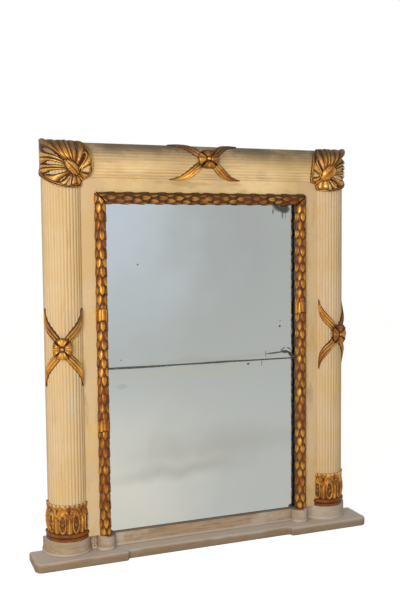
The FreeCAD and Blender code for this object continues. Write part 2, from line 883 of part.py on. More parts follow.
def palmette_blank():
    """The palmette's outline pushed forward through the corner."""
    margin = palmette_thickness + overrun
    rim = [palmette_point(share) for share in palmette_rim_shares]
    start = V(rim[0].x, 0, frame_height + margin)
    corner = V(half_width + margin, 0, frame_height + margin)
    end = V(half_width + margin, 0, rim[4].z)
    edges = [
        Part.LineSegment(corner, start).toShape(),
        Part.LineSegment(start, rim[0]).toShape(),
        Part.Arc(rim[0], rim[1], rim[2]).toShape(),
        Part.Arc(rim[2], rim[3], rim[4]).toShape(),
        Part.LineSegment(rim[4], end).toShape(),
        Part.LineSegment(end, corner).toShape(),
    ]
    blank = Part.Face(Part.Wire(edges)).extrude(V(0, -frieze_depth - 2 * column_radius, 0))
    return blank.cut(box(0, 2 * half_width, -palmette_side_stop, overrun, 0, 2 * frame_height))


def palmette_boss():
    """Almond-shaped boss lying along the mitre, sunk into the leaf."""
    run = palmette_boss_share * palmette_short
    drop = column_radius - run
    forward = column_stilt_depth + math.sqrt(column_radius ** 2 - drop ** 2)
    forward += palmette_thickness - palmette_boss_sink
    centre = V(half_width - run, -forward, frame_height - run)
    slope = drop / math.sqrt(column_radius ** 2 - drop ** 2)
    direction = V(-1, -slope, -1).normalize()
    half = palmette_boss_length / 2
    outward = direction.cross(V(1, 0, -1)).normalize()
    start = centre - direction * half
    end = centre + direction * half
    arc = Part.Arc(start, centre + outward * palmette_boss_radius, end).toShape()
    face = Part.Face(Part.Wire([arc, Part.LineSegment(end, start).toShape()]))
    return face.revolve(start, direction, 360)


def palmette():
    """Right corner leaf: pierced and fluted lobes, a spine and an almond boss."""
    envelope = member_envelope(fit_gap)
    blank = palmette_blank()
    leaf = member_envelope(palmette_thickness).cut(envelope).common(blank)
    flute_floor = member_envelope(palmette_thickness - palmette_flute_depth)
    for start, end in palmette_gap_shares:
        leaf = leaf.cut(lens(palmette_point(start), palmette_point(end), palmette_gap_half_width))
    for start, end in palmette_flute_shares:
        flute = lens(palmette_point(start), palmette_point(end), palmette_flute_half_width)
        leaf = leaf.cut(flute.cut(flute_floor))
    tip = palmette_thickness + overrun
    run = palmette_spine_share * palmette_short
    side = palmette_spine_width / 2
    spine_points = [
        V(half_width + tip, 0, frame_height + tip),
        V(half_width + tip - side, 0, frame_height + tip),
        V(half_width - run - side / 2, 0, frame_height - run + side / 2),
        V(half_width - run + side / 2, 0, frame_height - run - side / 2),
        V(half_width + tip, 0, frame_height + tip - side),
    ]
    spine = prism(spine_points, V(0, -frieze_depth - 2 * column_radius, 0))
    spine = spine.common(member_envelope(palmette_thickness + palmette_spine_rise)).cut(envelope)
    spine = spine.cut(box(0, 2 * half_width, -palmette_side_stop, overrun, 0, 2 * frame_height))
    boss = palmette_boss().cut(envelope)
    return fuse_all([leaf, spine, boss]).cut(frieze_front())


def frieze_front():
    """What the frieze takes up, with a fitting gap in front of it."""
    return box(-lap_x, lap_x, face_y - fit_gap, overrun, 0, lap_z)


def on_column(shape):
    """Turns an ornament outwards and sets it on the right column."""
    placed = shape.copy()
    placed.rotate(V(0, 0, 0), V(0, 0, 1), ornament_turn_degrees)
    placed.translate(V(axis_x, axis_y, cross_z))
    return placed.cut(frieze_front())


def on_top_member(shape):
    """Turns an ornament upwards and sets it on the top member."""
    placed = shape.copy()
    placed.rotate(V(0, 0, 0), V(0, 1, 0), 90)
    placed.rotate(V(0, 0, 0), V(1, 0, 0), -top_ornament_turn_degrees)
    placed.translate(V(0, axis_y, axis_z))
    return placed.cut(frieze_front())


# Hangers

def knuckle_place():
    """Centre of the right hanger's knuckle."""
    return V(hanger_x, knuckle_radius, hanger_height)


def strap_screw_shapes(gap):
    """Screws of the right hanger strap."""
    low = hanger_height + knuckle_radius + (strap_length - strap_screw_spacing) / 2
    return [
        screw(strap_screw_radius + gap, strap_screw_head_radius + gap, strap_screw_head_height,
              strap_screw_length + gap, V(hanger_x, strap_thickness, z), V(0, -1, 0))
        for z in (low, low + strap_screw_spacing)
    ]


def hanger_strap():
    """Right strap, rolled round the ring's straight bar."""
    centre = knuckle_place()
    half = strap_width / 2
    plate_top_z = centre.z + strap_length
    plate_shape = box(hanger_x - half, hanger_x + half, 0, strap_thickness, centre.z, plate_top_z)

    def top_corner(edge):
        """Whether an edge runs through the plate at one of its upper corners."""
        bounds = edge.BoundBox
        through = bounds.XLength < fit_gap and bounds.ZLength < fit_gap
        return through and bounds.ZMin > centre.z + fit_gap

    corners = [edge for edge in plate_shape.Edges if top_corner(edge)]
    plate_shape = plate_shape.makeFillet(strap_corner_radius, corners)
    start = V(hanger_x - half, centre.y, centre.z)
    roll = rod(knuckle_radius, start, V(1, 0, 0), strap_width)
    strap = fuse_all([plate_shape, roll])
    bore = rod(ring_wire_radius + hanger_bore_gap, V(start.x - overrun, start.y, start.z), V(1, 0, 0),
               strap_width + 2 * overrun)
    strap = strap.cut(bore)
    for screw_shape in strap_screw_shapes(screw_gap):
        strap = strap.cut(screw_shape)
    return strap


def hanger_ring():
    """Right D-ring, hanging from its strap."""
    centre = knuckle_place()
    half = ring_half_width
    low = centre.z - ring_straight
    corners = [
        V(hanger_x - half, centre.y, low),
        V(hanger_x - half, centre.y, centre.z),
        V(hanger_x + half, centre.y, centre.z),
        V(hanger_x + half, centre.y, low),
    ]
    wire = [rod(ring_wire_radius, start, end - start, (end - start).Length)
            for start, end in zip(corners, corners[1:])]
    wire += [Part.makeSphere(ring_wire_radius, corner) for corner in corners[1:3]]
    bend = Part.makeTorus(half, ring_wire_radius, V(hanger_x, centre.y, low), V(0, 1, 0))
    bend = bend.common(box(hanger_x - 2 * half, hanger_x + 2 * half, 0, 2 * back_reach,
                           low - 2 * half, low))
    return fuse_all(wire + [bend])


def pieces():
    """Every piece by its node name."""
    limits = backboard_limits()
    cross = crossed_leaves()
    flower = patera()
    made = {
        "base_board": base_board(),
        "plinth_rail": plinth_rail(),
        "top_frieze_rail": top_frieze_rail(),
        "top_back_rail": top_back_rail(),
        "bottom_back_rail": bottom_back_rail(),
        "top_member": top_member(),
        "top_leaf_moulding": leaf_top(),
        "top_crossed_leaves": on_top_member(cross),
        "top_patera": on_top_member(flower),
        "lower_mirror_plate": plate(plate_bottom, plate_joint_height),
        "upper_mirror_plate": plate(plate_joint_height + plate_joint_gap, plate_top),
        "glazing_slips": glazing_slips(),
        "corner_blocks": corner_blocks(),
    }
    right_hand = {
        "plinth_block": plinth_block(),
        "small_block": small_block(),
        "frieze_stile": frieze_stile(),
        "back_stile": back_stile(),
        "column": column(),
        "bole_ring": bole_ring(),
        "capital": capital(),
        "leaf_moulding": leaf_upright(),
        "crossed_leaves": on_column(cross),
        "patera": on_column(flower),
        "corner_palmette": palmette(),
        "hanger_strap": hanger_strap(),
        "hanger_ring": hanger_ring(),
    }
    for name, shape in right_hand.items():
        made["right_" + name] = shape
        made["left_" + name] = other_side(shape)
    for number, (low, high) in enumerate(limits, 1):
        made["backboard_%d" % number] = backboard(low, high)
    both_sides = {
        "tenon_pegs": corner_peg_shapes(0) + foot_peg_shapes(0),
        "backboard_nails": nail_shapes(0),
        "column_screws": column_screw_shapes(0),
        "hanger_screws": strap_screw_shapes(0),
    }
    for name, shapes in both_sides.items():
        made[name] = Part.makeCompound(shapes + [other_side(shape) for shape in shapes])
    made["top_member_screws"] = Part.makeCompound(top_screw_shapes(0))
    made["base_screws"] = Part.makeCompound(base_screw_shapes(0))
    return made


def main():
    """Builds the mirror and writes one file per piece."""
    os.makedirs("parts", exist_ok=True)
    for name, shape in sorted(pieces().items()):
        placed = shape.copy()
        placed.translate(V(0, centring, 0))
        placed.exportStep("parts/%s.step" % name)
        print(name, len(placed.Solids), placed.isValid(), round(placed.Volume / 1000.0, 2))


main()
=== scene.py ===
import math

import bmesh
import bpy
from bpy.props import FloatProperty, FloatVectorProperty, IntProperty, PointerProperty
from mathutils import Matrix, Vector, noise


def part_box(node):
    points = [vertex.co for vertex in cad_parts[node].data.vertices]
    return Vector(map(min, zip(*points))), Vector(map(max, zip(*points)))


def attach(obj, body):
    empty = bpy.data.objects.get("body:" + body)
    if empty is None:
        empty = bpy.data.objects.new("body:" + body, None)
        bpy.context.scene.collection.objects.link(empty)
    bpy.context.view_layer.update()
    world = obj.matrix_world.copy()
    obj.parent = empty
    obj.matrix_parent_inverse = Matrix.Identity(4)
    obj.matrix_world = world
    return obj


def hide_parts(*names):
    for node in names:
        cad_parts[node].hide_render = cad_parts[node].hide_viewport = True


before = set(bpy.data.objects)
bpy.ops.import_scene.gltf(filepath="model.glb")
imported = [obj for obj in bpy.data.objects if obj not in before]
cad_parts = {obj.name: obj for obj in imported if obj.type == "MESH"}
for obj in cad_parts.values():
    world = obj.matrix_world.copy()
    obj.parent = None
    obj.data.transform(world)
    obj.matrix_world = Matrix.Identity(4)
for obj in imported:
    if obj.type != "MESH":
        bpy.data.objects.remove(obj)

bl_info = {
    "name": "Overmantel mirror",
    "version": (1, 0, 0),
    "blender": (4, 5, 0),
    "location": "3D View > Sidebar > Overmantel",
    "description": "Carves, gilds and paints a reeded overmantel mirror on its frame",
    "category": "Object",
}

QUARTER = math.pi / 2
WALL_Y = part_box("right_column")[1].y
FRIEZE_DEPTH = WALL_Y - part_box("top_frieze_rail")[0].y
SIDES = ("left", "right")
MEMBERS = SIDES + ("top",)
SINK = 0.0015
WELD = 0.00008
MILLIMETRES = 1000


def tone(red, green, blue):
    """A colour named by its 0 to 255 screen values, as the linear triple that Blender keeps."""
    return tuple(((value / 255 + 0.055) / 1.055) ** 2.4 for value in (red, green, blue))


def metres(name, description, default):
    """A property that holds a size."""
    return FloatProperty(name=name, description=description, default=default, min=0.0, unit="LENGTH",
                         precision=4)


def shade(name, description, screen):
    """A property that holds a colour of a finish."""
    return FloatVectorProperty(name=name, description=description, default=tone(*screen), subtype="COLOR",
                               size=3, min=0.0, max=1.0)


class OvermantelSizes(bpy.types.PropertyGroup):
    """Sizes that the carving follows."""
    frame_width: metres("Frame width", "Width over the two columns", 1.280)
    frame_height: metres("Frame height", "Height to the crown of the top member", 1.608)
    column_radius: metres("Column radius", "Radius over the reeds", 0.0765)
    column_stilt: metres("Column stilt", "Depth of the column's axis in front of the wall", 0.032)
    member_lap: metres("Member lap", "Width of a member over the frieze behind it", 0.100)
    reed_count: IntProperty(name="Reeds", description="Number of reeds on a member", default=14, min=4)
    reed_depth: metres("Reed depth", "Depth of the grooves between reeds", 0.0027)
    moulding_width: metres("Leaf moulding width", "Width of the laurel moulding", 0.0435)
    laurel_pitch: metres("Laurel pitch", "Distance between rows of laurel leaves", 0.0345)
    laurel_length: metres("Laurel length", "Length of one laurel leaf", 0.047)
    laurel_rise: metres("Laurel rise", "Height of a laurel leaf's crown", 0.0062)
    capital_leaf_turn: FloatProperty(name="Capital leaf turn", description="Angle between two capital leaves",
                                     default=math.radians(38.5), subtype="ANGLE")
    arm_rise: metres("Arm rise", "Thickness of the crossed leaves", 0.0105)
    patera_width: metres("Patera width", "Width of the square flower", 0.071)
    patera_height: metres("Patera height", "Height of the square flower", 0.079)
    leaf_rise: metres("Leaf rise", "Height of the corner leaf's crests", 0.0125)
    bud_place: metres("Bud place", "Middle of the almond bud, in and down from the corner", 0.100)
    bud_length: metres("Bud length", "Length of the almond bud", 0.076)
    bud_radius: metres("Bud radius", "Half width of the almond bud", 0.0205)


class OvermantelColours(bpy.types.PropertyGroup):
    """Colours of the finishes."""
    cream: shade("Cream", "Aged cream paint", (221, 192, 149))
    # Paler copy of the cream for the members across the top: painted light.
    cream_top_lit: shade("Top cream", "Paler cream of the members across the top", (248, 216, 160))
    cream_warm: shade("Warm cream", "Yellowed breadths of the cream", (216, 182, 126))
    cream_yellow: shade("Yellow cream", "Varnish-yellow patches of the cream", (222, 186, 108))
    cream_grey: shade("Grey cream", "Greyed patches of the cream", (200, 182, 152))
    # Dirt streaks of the cream; also laid in its grooves and corners as painted shade.
    cream_dirt_and_shade: shade("Cream groove", "Dirt in the grooves of the cream", (172, 136, 88))
    # Dirt, also laid as painted shade: on what faces up, in the plinth's crevices, at its foot and under the
    # glass.
    soot_and_shade: shade("Soot", "Dust on what faces up", (86, 68, 52))
    gold: shade("Gold", "Water gilding", (206, 142, 50))
    gold_deep: shade("Deep gold", "Toned gilding", (152, 92, 22))
    # Laid on the crests as burnish and as painted highlight.
    gold_burnish_and_highlight: shade("Pale gold", "Burnished crests of the carving", (240, 196, 120))
    bole: shade("Bole", "Red clay under the gold", (116, 60, 28))
    # Used as painted shade in the carving's recesses and hollows and in the centres of the plinth's holes; it
    # also darkens the cream's inner faces round the glass.
    recess: shade("Recess", "Dirt in the carving's recesses", (50, 23, 6))
    # Brown dirt on what faces up, also laid as painted shade there.
    grime_and_shade: shade("Grime", "Brown grime on gilding that faces up", (78, 53, 32))
    gesso: shade("Gesso", "Chalk ground where the gold is worn through", (214, 190, 150))
    plinth: shade("Plinth", "Grey taupe paint of the plinth", (174, 150, 120))
    plinth_warm: shade("Plinth warm", "Browner breadths of the plinth", (170, 140, 104))
    putty: shade("Putty", "Pink filler round the holes of the plinth", (214, 178, 156))
    plinth_dark: shade("Plinth wear", "Worn and dirty places of the plinth", (132, 108, 84))
    # Pale worn places of the plinth; also laid as painted light on its top faces and right end, and as a
    # painted highlight at the foot of its blocks.
    plinth_pale_and_lit: shade("Plinth pale", "Rubbed pale places of the plinth", (208, 196, 182))
    silver: shade("Silvering", "Old mirror silvering", (171, 175, 172))
    foxing: shade("Foxing", "Black worn places of the silvering", (58, 54, 48))
    pine: shade("Pine", "Bare old pine", (176, 134, 88))
    oak: shade("Oak", "Oak pegs", (140, 98, 58))
    brass: shade("Brass", "Hangers", (178, 142, 76))
    steel: shade("Steel", "Screws", (120, 116, 110))
    iron: shade("Iron", "Nails", (58, 50, 44))


def sizes():
    """The sizes set for this scene."""
    return bpy.context.scene.overmantel_sizes


def colours():
    """The colours set for this scene."""
    return bpy.context.scene.overmantel_colours


# Curves and places

def clamp(value):
    """A value kept from 0 to 1."""
    return min(max(value, 0.0), 1.0)


def path_at(points, share):
    """A smooth place on a path of given points."""
    last = len(points) - 1
    at = clamp(share) * last
    i = min(int(at), last - 1)
    f = at - i
    a = Vector(points[max(i - 1, 0)])
    b = Vector(points[i])
    c = Vector(points[i + 1])
    d = Vector(points[min(i + 2, last)])
    twice = 2 * b + (c - a) * f + (2 * a - 5 * b + 4 * c - d) * f ** 2 + (3 * b - a - 3 * c + d) * f ** 3
    return 0.5 * twice


def path_side(points, share):
    """Unit direction to the side of a path."""
    step = 0.01
    run = path_at(points, share + step) - path_at(points, share - step)
    if run.length == 0:
        return Vector((1.0, 0.0))
    run.normalize()
    return Vector((-run.y, run.x))


def graded(values, share):
    """A value on a row of given values, eased between them."""
    at = clamp(share) * (len(values) - 1)
    first = min(int(at), len(values) - 2)
    ease = 0.5 - 0.5 * math.cos(math.pi * (at - first))
    return values[first] + (values[first + 1] - values[first]) * ease


def swell(share, peak, fullness):
    """Rises from 0 to 1 at the peak and falls to 0: a leaf's half width along its length."""
    power = math.log(0.5) / math.log(peak)
    return max(math.sin(math.pi * clamp(share) ** power), 0.0) ** fullness


def dome(t):
    """Rounded height across a strip, from 1 in the middle to 0 at its edges."""
    return math.sqrt(max(1.0 - t * t, 0.0))


def side_of(member):
    """-1 on the left and 1 on the right, as X runs."""
    return -1 if member == "left" else 1


def placed(member, out, depth, along):
    """A place on a member: out from the mirror's middle or foot, in front of the wall, and along it."""
    if member == "top":
        return Vector((along, WALL_Y - depth, out))
    return Vector((side_of(member) * out, WALL_Y - depth, along))


def round_place(member, axis, radius, stilt):
    """Gives places on a half round: outwards round it from its crown, along it, and off its surface."""
    def place(across, along, rise):
        past = abs(across) - radius * QUARTER
        turn = min(abs(across) / radius, QUARTER) * (1 if across >= 0 else -1)
        reach = radius + rise
        depth = stilt - past if past > 0 else stilt + reach * math.cos(turn)
        return placed(member, axis + reach * math.sin(turn), depth, along)

    return place


def member_axis(member):
    """How far out the axis of a reeded member is."""
    s = sizes()
    return (s.frame_height if member == "top" else s.frame_width / 2) - s.column_radius


def member_round(member):
    """The half round of a reeded member."""
    s = sizes()
    return round_place(member, member_axis(member), s.column_radius, s.column_stilt)


# Meshes

def carving():
    """An empty mesh with the layer that says how far a place stands proud, which the gilding paints as shade
    in the hollows and as highlight on the crests.
    """
    bm = bmesh.new()
    return bm, bm.verts.layers.float.new("relief")


def extruded(bm, faces):
    """Extrudes faces and gives the new vertices."""
    grown = bmesh.ops.extrude_face_region(bm, geom=faces)["geom"]
    return [item for item in grown if isinstance(item, bmesh.types.BMVert)]


def add_carving(bm, relief, along, across, place, pierced=None):
    """Adds one closed form: a grid that place(share, t, top) bends onto a surface, less what is pierced."""
    lows = bmesh.ops.create_grid(bm, x_segments=along, y_segments=across, size=1.0)["verts"]
    faces = list({face for vert in lows for face in vert.link_faces})
    if pierced:
        spare = {face for face in faces
                 if all(pierced((vert.co.x + 1) / 2, vert.co.y) for vert in face.verts)}
        faces = [face for face in faces if face not in spare]
        bmesh.ops.delete(bm, geom=list(spare), context="FACES")
        lows = list({vert for face in faces for vert in face.verts})
    for verts, top in ((extruded(bm, faces), True), (lows, False)):
        for vert in verts:
            vert.co, vert[relief] = place((vert.co.x + 1) / 2, vert.co.y, top)


def add_strand(bm, relief, path, width, rise, place):
    """Adds a carved strand along a flat path, width(share) to each side and rise(t) high."""
    def laid(share, t, top):
        flat = path_at(path, share) + path_side(path, share) * width(share) * t
        return place(flat.x, flat.y, rise(t) if top else -SINK), (0.25 + 0.75 * dome(t) if top else 0.0)

    add_carving(bm, relief, 18, 6, laid)


def everything(bm):
    """All of a mesh, for a cut."""
    return bm.verts[:] + bm.edges[:] + bm.faces[:]


def cut_off(bm, place, direction):
    """Takes away what lies past a plane and closes the cut."""
    cut = bmesh.ops.bisect_plane(bm, geom=everything(bm), dist=WELD, plane_co=place, plane_no=direction,
                                 clear_outer=True)
    edges = [item for item in cut["geom_cut"] if isinstance(item, bmesh.types.BMEdge)]
    bmesh.ops.holes_fill(bm, edges=edges, sides=0)


def cut_mitres(bm, member, outer, top):
    """Mitres a member at the top corners that it reaches."""
    turn = 1 if member == "top" else -1
    for side in (-1, 1) if member == "top" else (side_of(member),):
        cut_off(bm, Vector((side * outer, 0, top)), Vector((side, 0, -1)).normalized() * turn)


def add_object(name, data):
    """A new object in the scene."""
    item = bpy.data.objects.new(name, data)
    bpy.context.scene.collection.objects.link(item)
    return item


def finish_piece(node, bm, ending="_carved", finish="gilding", sharp=None):
    """Makes the piece that stands for a node, dresses it, and lets it ride on the frame."""
    bmesh.ops.remove_doubles(bm, verts=bm.verts, dist=WELD)
    bmesh.ops.dissolve_degenerate(bm, edges=bm.edges, dist=WELD)
    loose = [vert for vert in bm.verts if not vert.link_faces]
    bmesh.ops.delete(bm, geom=loose, context="VERTS")
    bmesh.ops.recalc_face_normals(bm, faces=bm.faces)
    mesh = bpy.data.meshes.new(node + ending)
    bm.to_mesh(mesh)
    bm.free()
    mesh.shade_smooth()
    if sharp is not None:
        mesh.set_sharp_from_angle(angle=sharp)
    mesh.materials.append(finish_named(finish))
    piece = add_object(node + ending, mesh)
    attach(piece, "root")
    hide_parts(node)


# Reeded members

REED_CUTS = 8
MEMBER_RINGS = 44
HAND_WEAR = 0.0007
SHARP_EDGE = math.radians(50)


def reed_outline():
    """Closed section of a reeded member: out, depth, and how proud each point stands."""
    s = sizes()
    groove = s.column_radius - s.reed_depth
    inner_turn = math.acos((FRIEZE_DEPTH - s.column_stilt) / groove)
    step = (QUARTER + inner_turn) / s.reed_count
    points = []
    for cut in range(s.reed_count * REED_CUTS + 1):
        share = (cut % REED_CUTS) / REED_CUTS
        proud = math.sin(math.pi * share) ** 0.75
        reach = groove + s.reed_depth * proud
        turn = QUARTER - step * cut / REED_CUTS
        points.append((reach * math.sin(turn), s.column_stilt + reach * math.cos(turn), proud))
    lap = s.column_radius - s.member_lap
    return points + [(lap, FRIEZE_DEPTH, 0.0), (lap, 0.0, 0.0), (groove, 0.0, 0.0)]


def make_member(member):
    """One reeded member, hand worked, mitred at the top corners."""
    s = sizes()
    outline = reed_outline()
    half_width = s.frame_width / 2
    bm, relief = carving()
    ring = bmesh.ops.create_circle(bm, cap_ends=True, segments=len(outline), radius=1.0)["verts"]
    for vert, (out, depth, proud) in zip(ring, outline):
        vert.co = (out, depth, 0.0)
        vert[relief] = proud
    node = "top_member" if member == "top" else member + "_column"
    low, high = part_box(node)
    start, end = (-half_width, half_width) if member == "top" else (low.z, high.z)
    bmesh.ops.translate(bm, verts=extruded(bm, bm.faces[:]), vec=(0, 0, end - start))
    for cut in range(1, MEMBER_RINGS):
        level = (0, 0, (end - start) * cut / MEMBER_RINGS)
        bmesh.ops.bisect_plane(bm, geom=everything(bm), plane_co=level, plane_no=(0, 0, 1))
    for vert in bm.verts:
        out, depth, along = vert.co
        if depth > s.column_stilt:
            depth += noise.noise(Vector((out * 9, depth * 9, along * 5))) * HAND_WEAR
        vert.co = placed(member, member_axis(member) + out, depth, start + along)
    cut_mitres(bm, member, half_width, s.frame_height)
    finish = "cream_level" if member == "top" else "cream_upright"
    finish_piece(node, bm, "_reeded", finish, SHARP_EDGE)


# Capitals

CAPITAL_OUTLINE = ((0.0, 0.0798), (0.10, 0.0814), (0.30, 0.0838), (0.48, 0.0838), (0.64, 0.0812),
                   (0.78, 0.0792), (0.90, 0.0804), (1.0, 0.0846))
CAPITAL_TEETH = 26
CAPITAL_MESH = (230, 74)
FIRST_LEAF_TURN = math.radians(9)


def capital_radius(up):
    """Radius of the capital's body at a share of its height."""
    last = len(CAPITAL_OUTLINE) - 1
    i = next((i for i in range(last) if up <= CAPITAL_OUTLINE[i + 1][0]), last - 1)
    low, high = CAPITAL_OUTLINE[i][0], CAPITAL_OUTLINE[i + 1][0]
    return path_at(CAPITAL_OUTLINE, (i + (up - low) / (high - low)) / last).y


def capital_relief(turn, up):
    """How proud the capital's carving stands: ribbed stems that branch into leaves, with eyes between."""
    period = turn / sizes().capital_leaf_turn
    aside = 2 * abs(period - round(period))
    uneven = noise.noise(Vector((turn * 7, up * 6, 3.0)))
    lumps = noise.noise(Vector((turn * 26, up * 17, 8.0)))
    across_stem = aside / (0.44 - 0.20 * min(up / 0.6, 1.0))
    stem = dome(min(across_stem, 1.0)) * (0.78 + 0.22 * math.cos(across_stem * math.pi * 2.0))
    stem *= clamp((0.74 - up) / 0.20)
    branch = 0.5 + 0.5 * math.cos(2 * math.pi * (up * 4.6 - aside * 1.5 + 0.35 * uneven))
    branch = (0.50 + 0.42 * branch ** 0.7) * min(max((up - 0.42) / 0.20, 0.40), 1.0)
    eye = math.hypot((aside - 1.0) / 0.46, (up - 0.35) / 0.31)
    height = max(stem, branch)
    if eye < 1.0:
        leaf_in_eye = 0.42 + 0.22 * math.cos(up * 38 + aside * 7 + 3 * uneven) + 0.75 * lumps
        height = 0.06 + 0.80 * leaf_in_eye * (1 - eye) ** 0.7
    height = max(height, 0.92 * dome((eye - 1.05) / 0.24))
    if up > 0.62:
        gap = math.exp(-(aside / 0.13) ** 2) * min((up - 0.62) / 0.12, 1.0)
        height *= 1 - 0.85 * gap
    return clamp(height * (1 - 0.70 * max(lumps, 0.0)))


def make_capital(member):
    """Leaf capital: a bulbous sleeve carved all over, with a worn toothed rim, on a plain core."""
    s = sizes()
    node = member + "_capital"
    low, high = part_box(node)
    column_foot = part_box(member + "_column")[0].z
    seat = s.column_radius - 0.0025
    axis = member_axis(member)
    inner = -math.acos((FRIEZE_DEPTH - s.column_stilt) / s.column_radius)
    outer = QUARTER + s.column_stilt / s.column_radius
    lap = -math.asin((s.member_lap - s.column_radius) / seat)
    bm, relief = carving()

    def body(share, t, top):
        turn = inner + (outer - inner) * share
        up = (t + 1) / 2
        proud = capital_relief(turn - FIRST_LEAF_TURN, up)
        teeth = 0.5 + 0.5 * math.cos(turn * CAPITAL_TEETH)
        rim = clamp((up - 0.90) / 0.08)
        radius = seat
        if top:
            radius = capital_radius(up) - 0.0055 + 0.0062 * proud * (1 - rim) + 0.0030 * rim * teeth
        shown = 0.96 * proud * (1 - rim) + rim * (0.70 + 0.95 * teeth)
        turned = min(turn, QUARTER)
        depth = s.column_stilt + radius * math.cos(turned) - (turn - turned) * s.column_radius
        along = low.z + (high.z - low.z) * up + 0.0025 * teeth * rim
        point = placed(member, axis + radius * math.sin(turned), depth, along)
        return point, (shown if top or up > 0.97 else 0.0)

    def core(share, t, top):
        turn = lap + (QUARTER - lap) * (t + 1) / 2
        depth = s.column_stilt + seat * math.cos(turn) if top else 0.0
        return placed(member, axis + seat * math.sin(turn), depth, low.z + (column_foot - low.z) * share), 0.0

    add_carving(bm, relief, *CAPITAL_MESH, body)
    add_carving(bm, relief, 2, 24, core)
    finish_piece(node, bm)


# Crossed leaves and pateras

ARM_UPPER = ((0.002, 0.020), (0.012, 0.044), (0.031, 0.068), (0.053, 0.092), (0.071, 0.116), (0.0842, 0.149))
ARM_LOWER = ((0.020, 0.002), (0.036, 0.026), (0.057, 0.046), (0.077, 0.074), (0.086, 0.110), (0.0850, 0.150))
ARM_RIDGES = 3
ORNAMENT_TURNS = {"left": math.radians(18.0), "right": math.radians(18.0), "top": math.radians(12.5)}
PETAL_TIP = 0.0365
PLATE_SHARE = 0.42
# The large boss, at a relief of 0, is painted dark as shade, and the small cap on it, at 1, bright as a
# painted highlight.
BOSSES = ((0.0120, 0.007, 0.0062, 0.0), (0.0072, 0.0120, 0.0050, 1.0))


def ornament_centre(member):
    """Middle of a member's crossed leaves: outwards from the crown, and along it."""
    low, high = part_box(member + "_patera")
    along = (low.x + high.x) / 2 if member == "top" else (low.z + high.z) / 2
    return ORNAMENT_TURNS[member] * sizes().column_radius, along


def make_crossed_leaves(member):
    """Four crescent arms with lengthwise ridges, which cross under the patera."""
    s = sizes()
    bm, relief = carving()
    place = member_round(member)
    across, along = ornament_centre(member)
    for across_sign in (-1, 1):
        for along_sign in (-1, 1):
            def arm(share, t, top):
                flat = path_at(ARM_LOWER, share).lerp(path_at(ARM_UPPER, share), (t + 1) / 2)
                taper = (1.0 - share ** 3) * 0.8 + 0.2
                wave = 0.5 + 0.5 * math.cos(math.pi * ARM_RIDGES * (t + 1) + math.pi)
                carved = dome(t) * (0.45 + 0.55 * wave)
                rise = 0.0012 + s.arm_rise * taper * carved if top else -SINK
                point = place(across + across_sign * flat.x, along + along_sign * flat.y, rise)
                return point, ((carved * 1.15 + 0.06) * (1.0 - 0.75 * share ** 4) if top else 0.0)

            add_carving(bm, relief, 30, 24, arm)
    finish_piece(member + "_crossed_leaves", bm)


def make_patera(member):
    """Square four-petal flower with a round boss over the crossing."""
    s = sizes()
    bm, relief = carving()
    across, along = ornament_centre(member)
    surface = member_round(member)
    root = surface(across, along, 0.0)
    out = (surface(across, along, 0.01) - root).normalized()
    lengthwise = (surface(across, along + 0.01, 0.0) - root).normalized()
    side = lengthwise.cross(out)
    bed = s.arm_rise + 0.001
    half_width = s.patera_width / 2
    half_height = s.patera_height / 2

    def place(u, v, rise):
        return root + side * u + lengthwise * v + out * (bed + rise)

    def plate(share, t, top):
        u = (share * 2 - 1) * half_width * PLATE_SHARE
        return place(u, t * half_height * PLATE_SHARE, (0.004 if top else -0.014) - (u * u) * 4.0), 0.1

    add_carving(bm, relief, 8, 8, plate)
    for quarter in range(4):
        turn = Matrix.Rotation(quarter * QUARTER, 2)

        def petal(share, t, top):
            reach = 0.008 + share * 0.0285
            scallop = 1.0 - 0.15 * abs(t) ** 4 * share
            flat = turn @ Vector((reach * scallop, t * (0.0065 + 0.0195 * share)))
            flat.x *= half_width / PETAL_TIP
            flat.y *= half_height / PETAL_TIP
            lip = 0.0050 * math.sin(math.pi * min(share * 0.9 + 0.1, 1)) + 0.0042 * share
            hollow = (1 - (2 * abs(t) - 1) ** 2) * share
            rise = 0.0050 + lip - 0.0042 * hollow + 0.0016 * (1 - abs(t)) if top else -0.006
            return place(flat.x, flat.y, rise), ((0.92 - 0.62 * hollow) * (1 - abs(t) ** 6) if top else 0.0)

        add_carving(bm, relief, 8, 16, petal)
    for radius, start, rise, proud in BOSSES:
        ball = bmesh.ops.create_uvsphere(bm, u_segments=20, v_segments=10, radius=1.0)["verts"]
        for vert in ball:
            u, v, w = vert.co
            vert.co = place(u * radius, v * radius, start + w * rise)
            vert[relief] = proud
    finish_piece(member + "_patera", bm)


# Corner palmettes

CREST = (0.50, 0.80, 0.95, 0.85, 0.50)
BROAD = (0.40, 0.66, 0.80, 0.72, 0.46)
FLUTE = (0.20, 0.26, 0.28, 0.30, 0.40)
LENS = (0.15, -2.20, -3.00, -0.20, 0.42)
SHORT_LENS = (0.20, -0.60, -3.00, 0.20, 0.42)
END_LENS = (0.20, -1.60, -2.60, -2.60, -2.60)
HOLLOW = (0.20, -0.06, -0.32, -0.02, 0.28)
PIT = (0.22, 0.20, -0.10, -0.30, 0.10)
SPINE = (0.80, 0.95, 1.00, 0.85, 0.42)
LIP = (0.20, 0.30, 0.34, 0.34, 0.20)
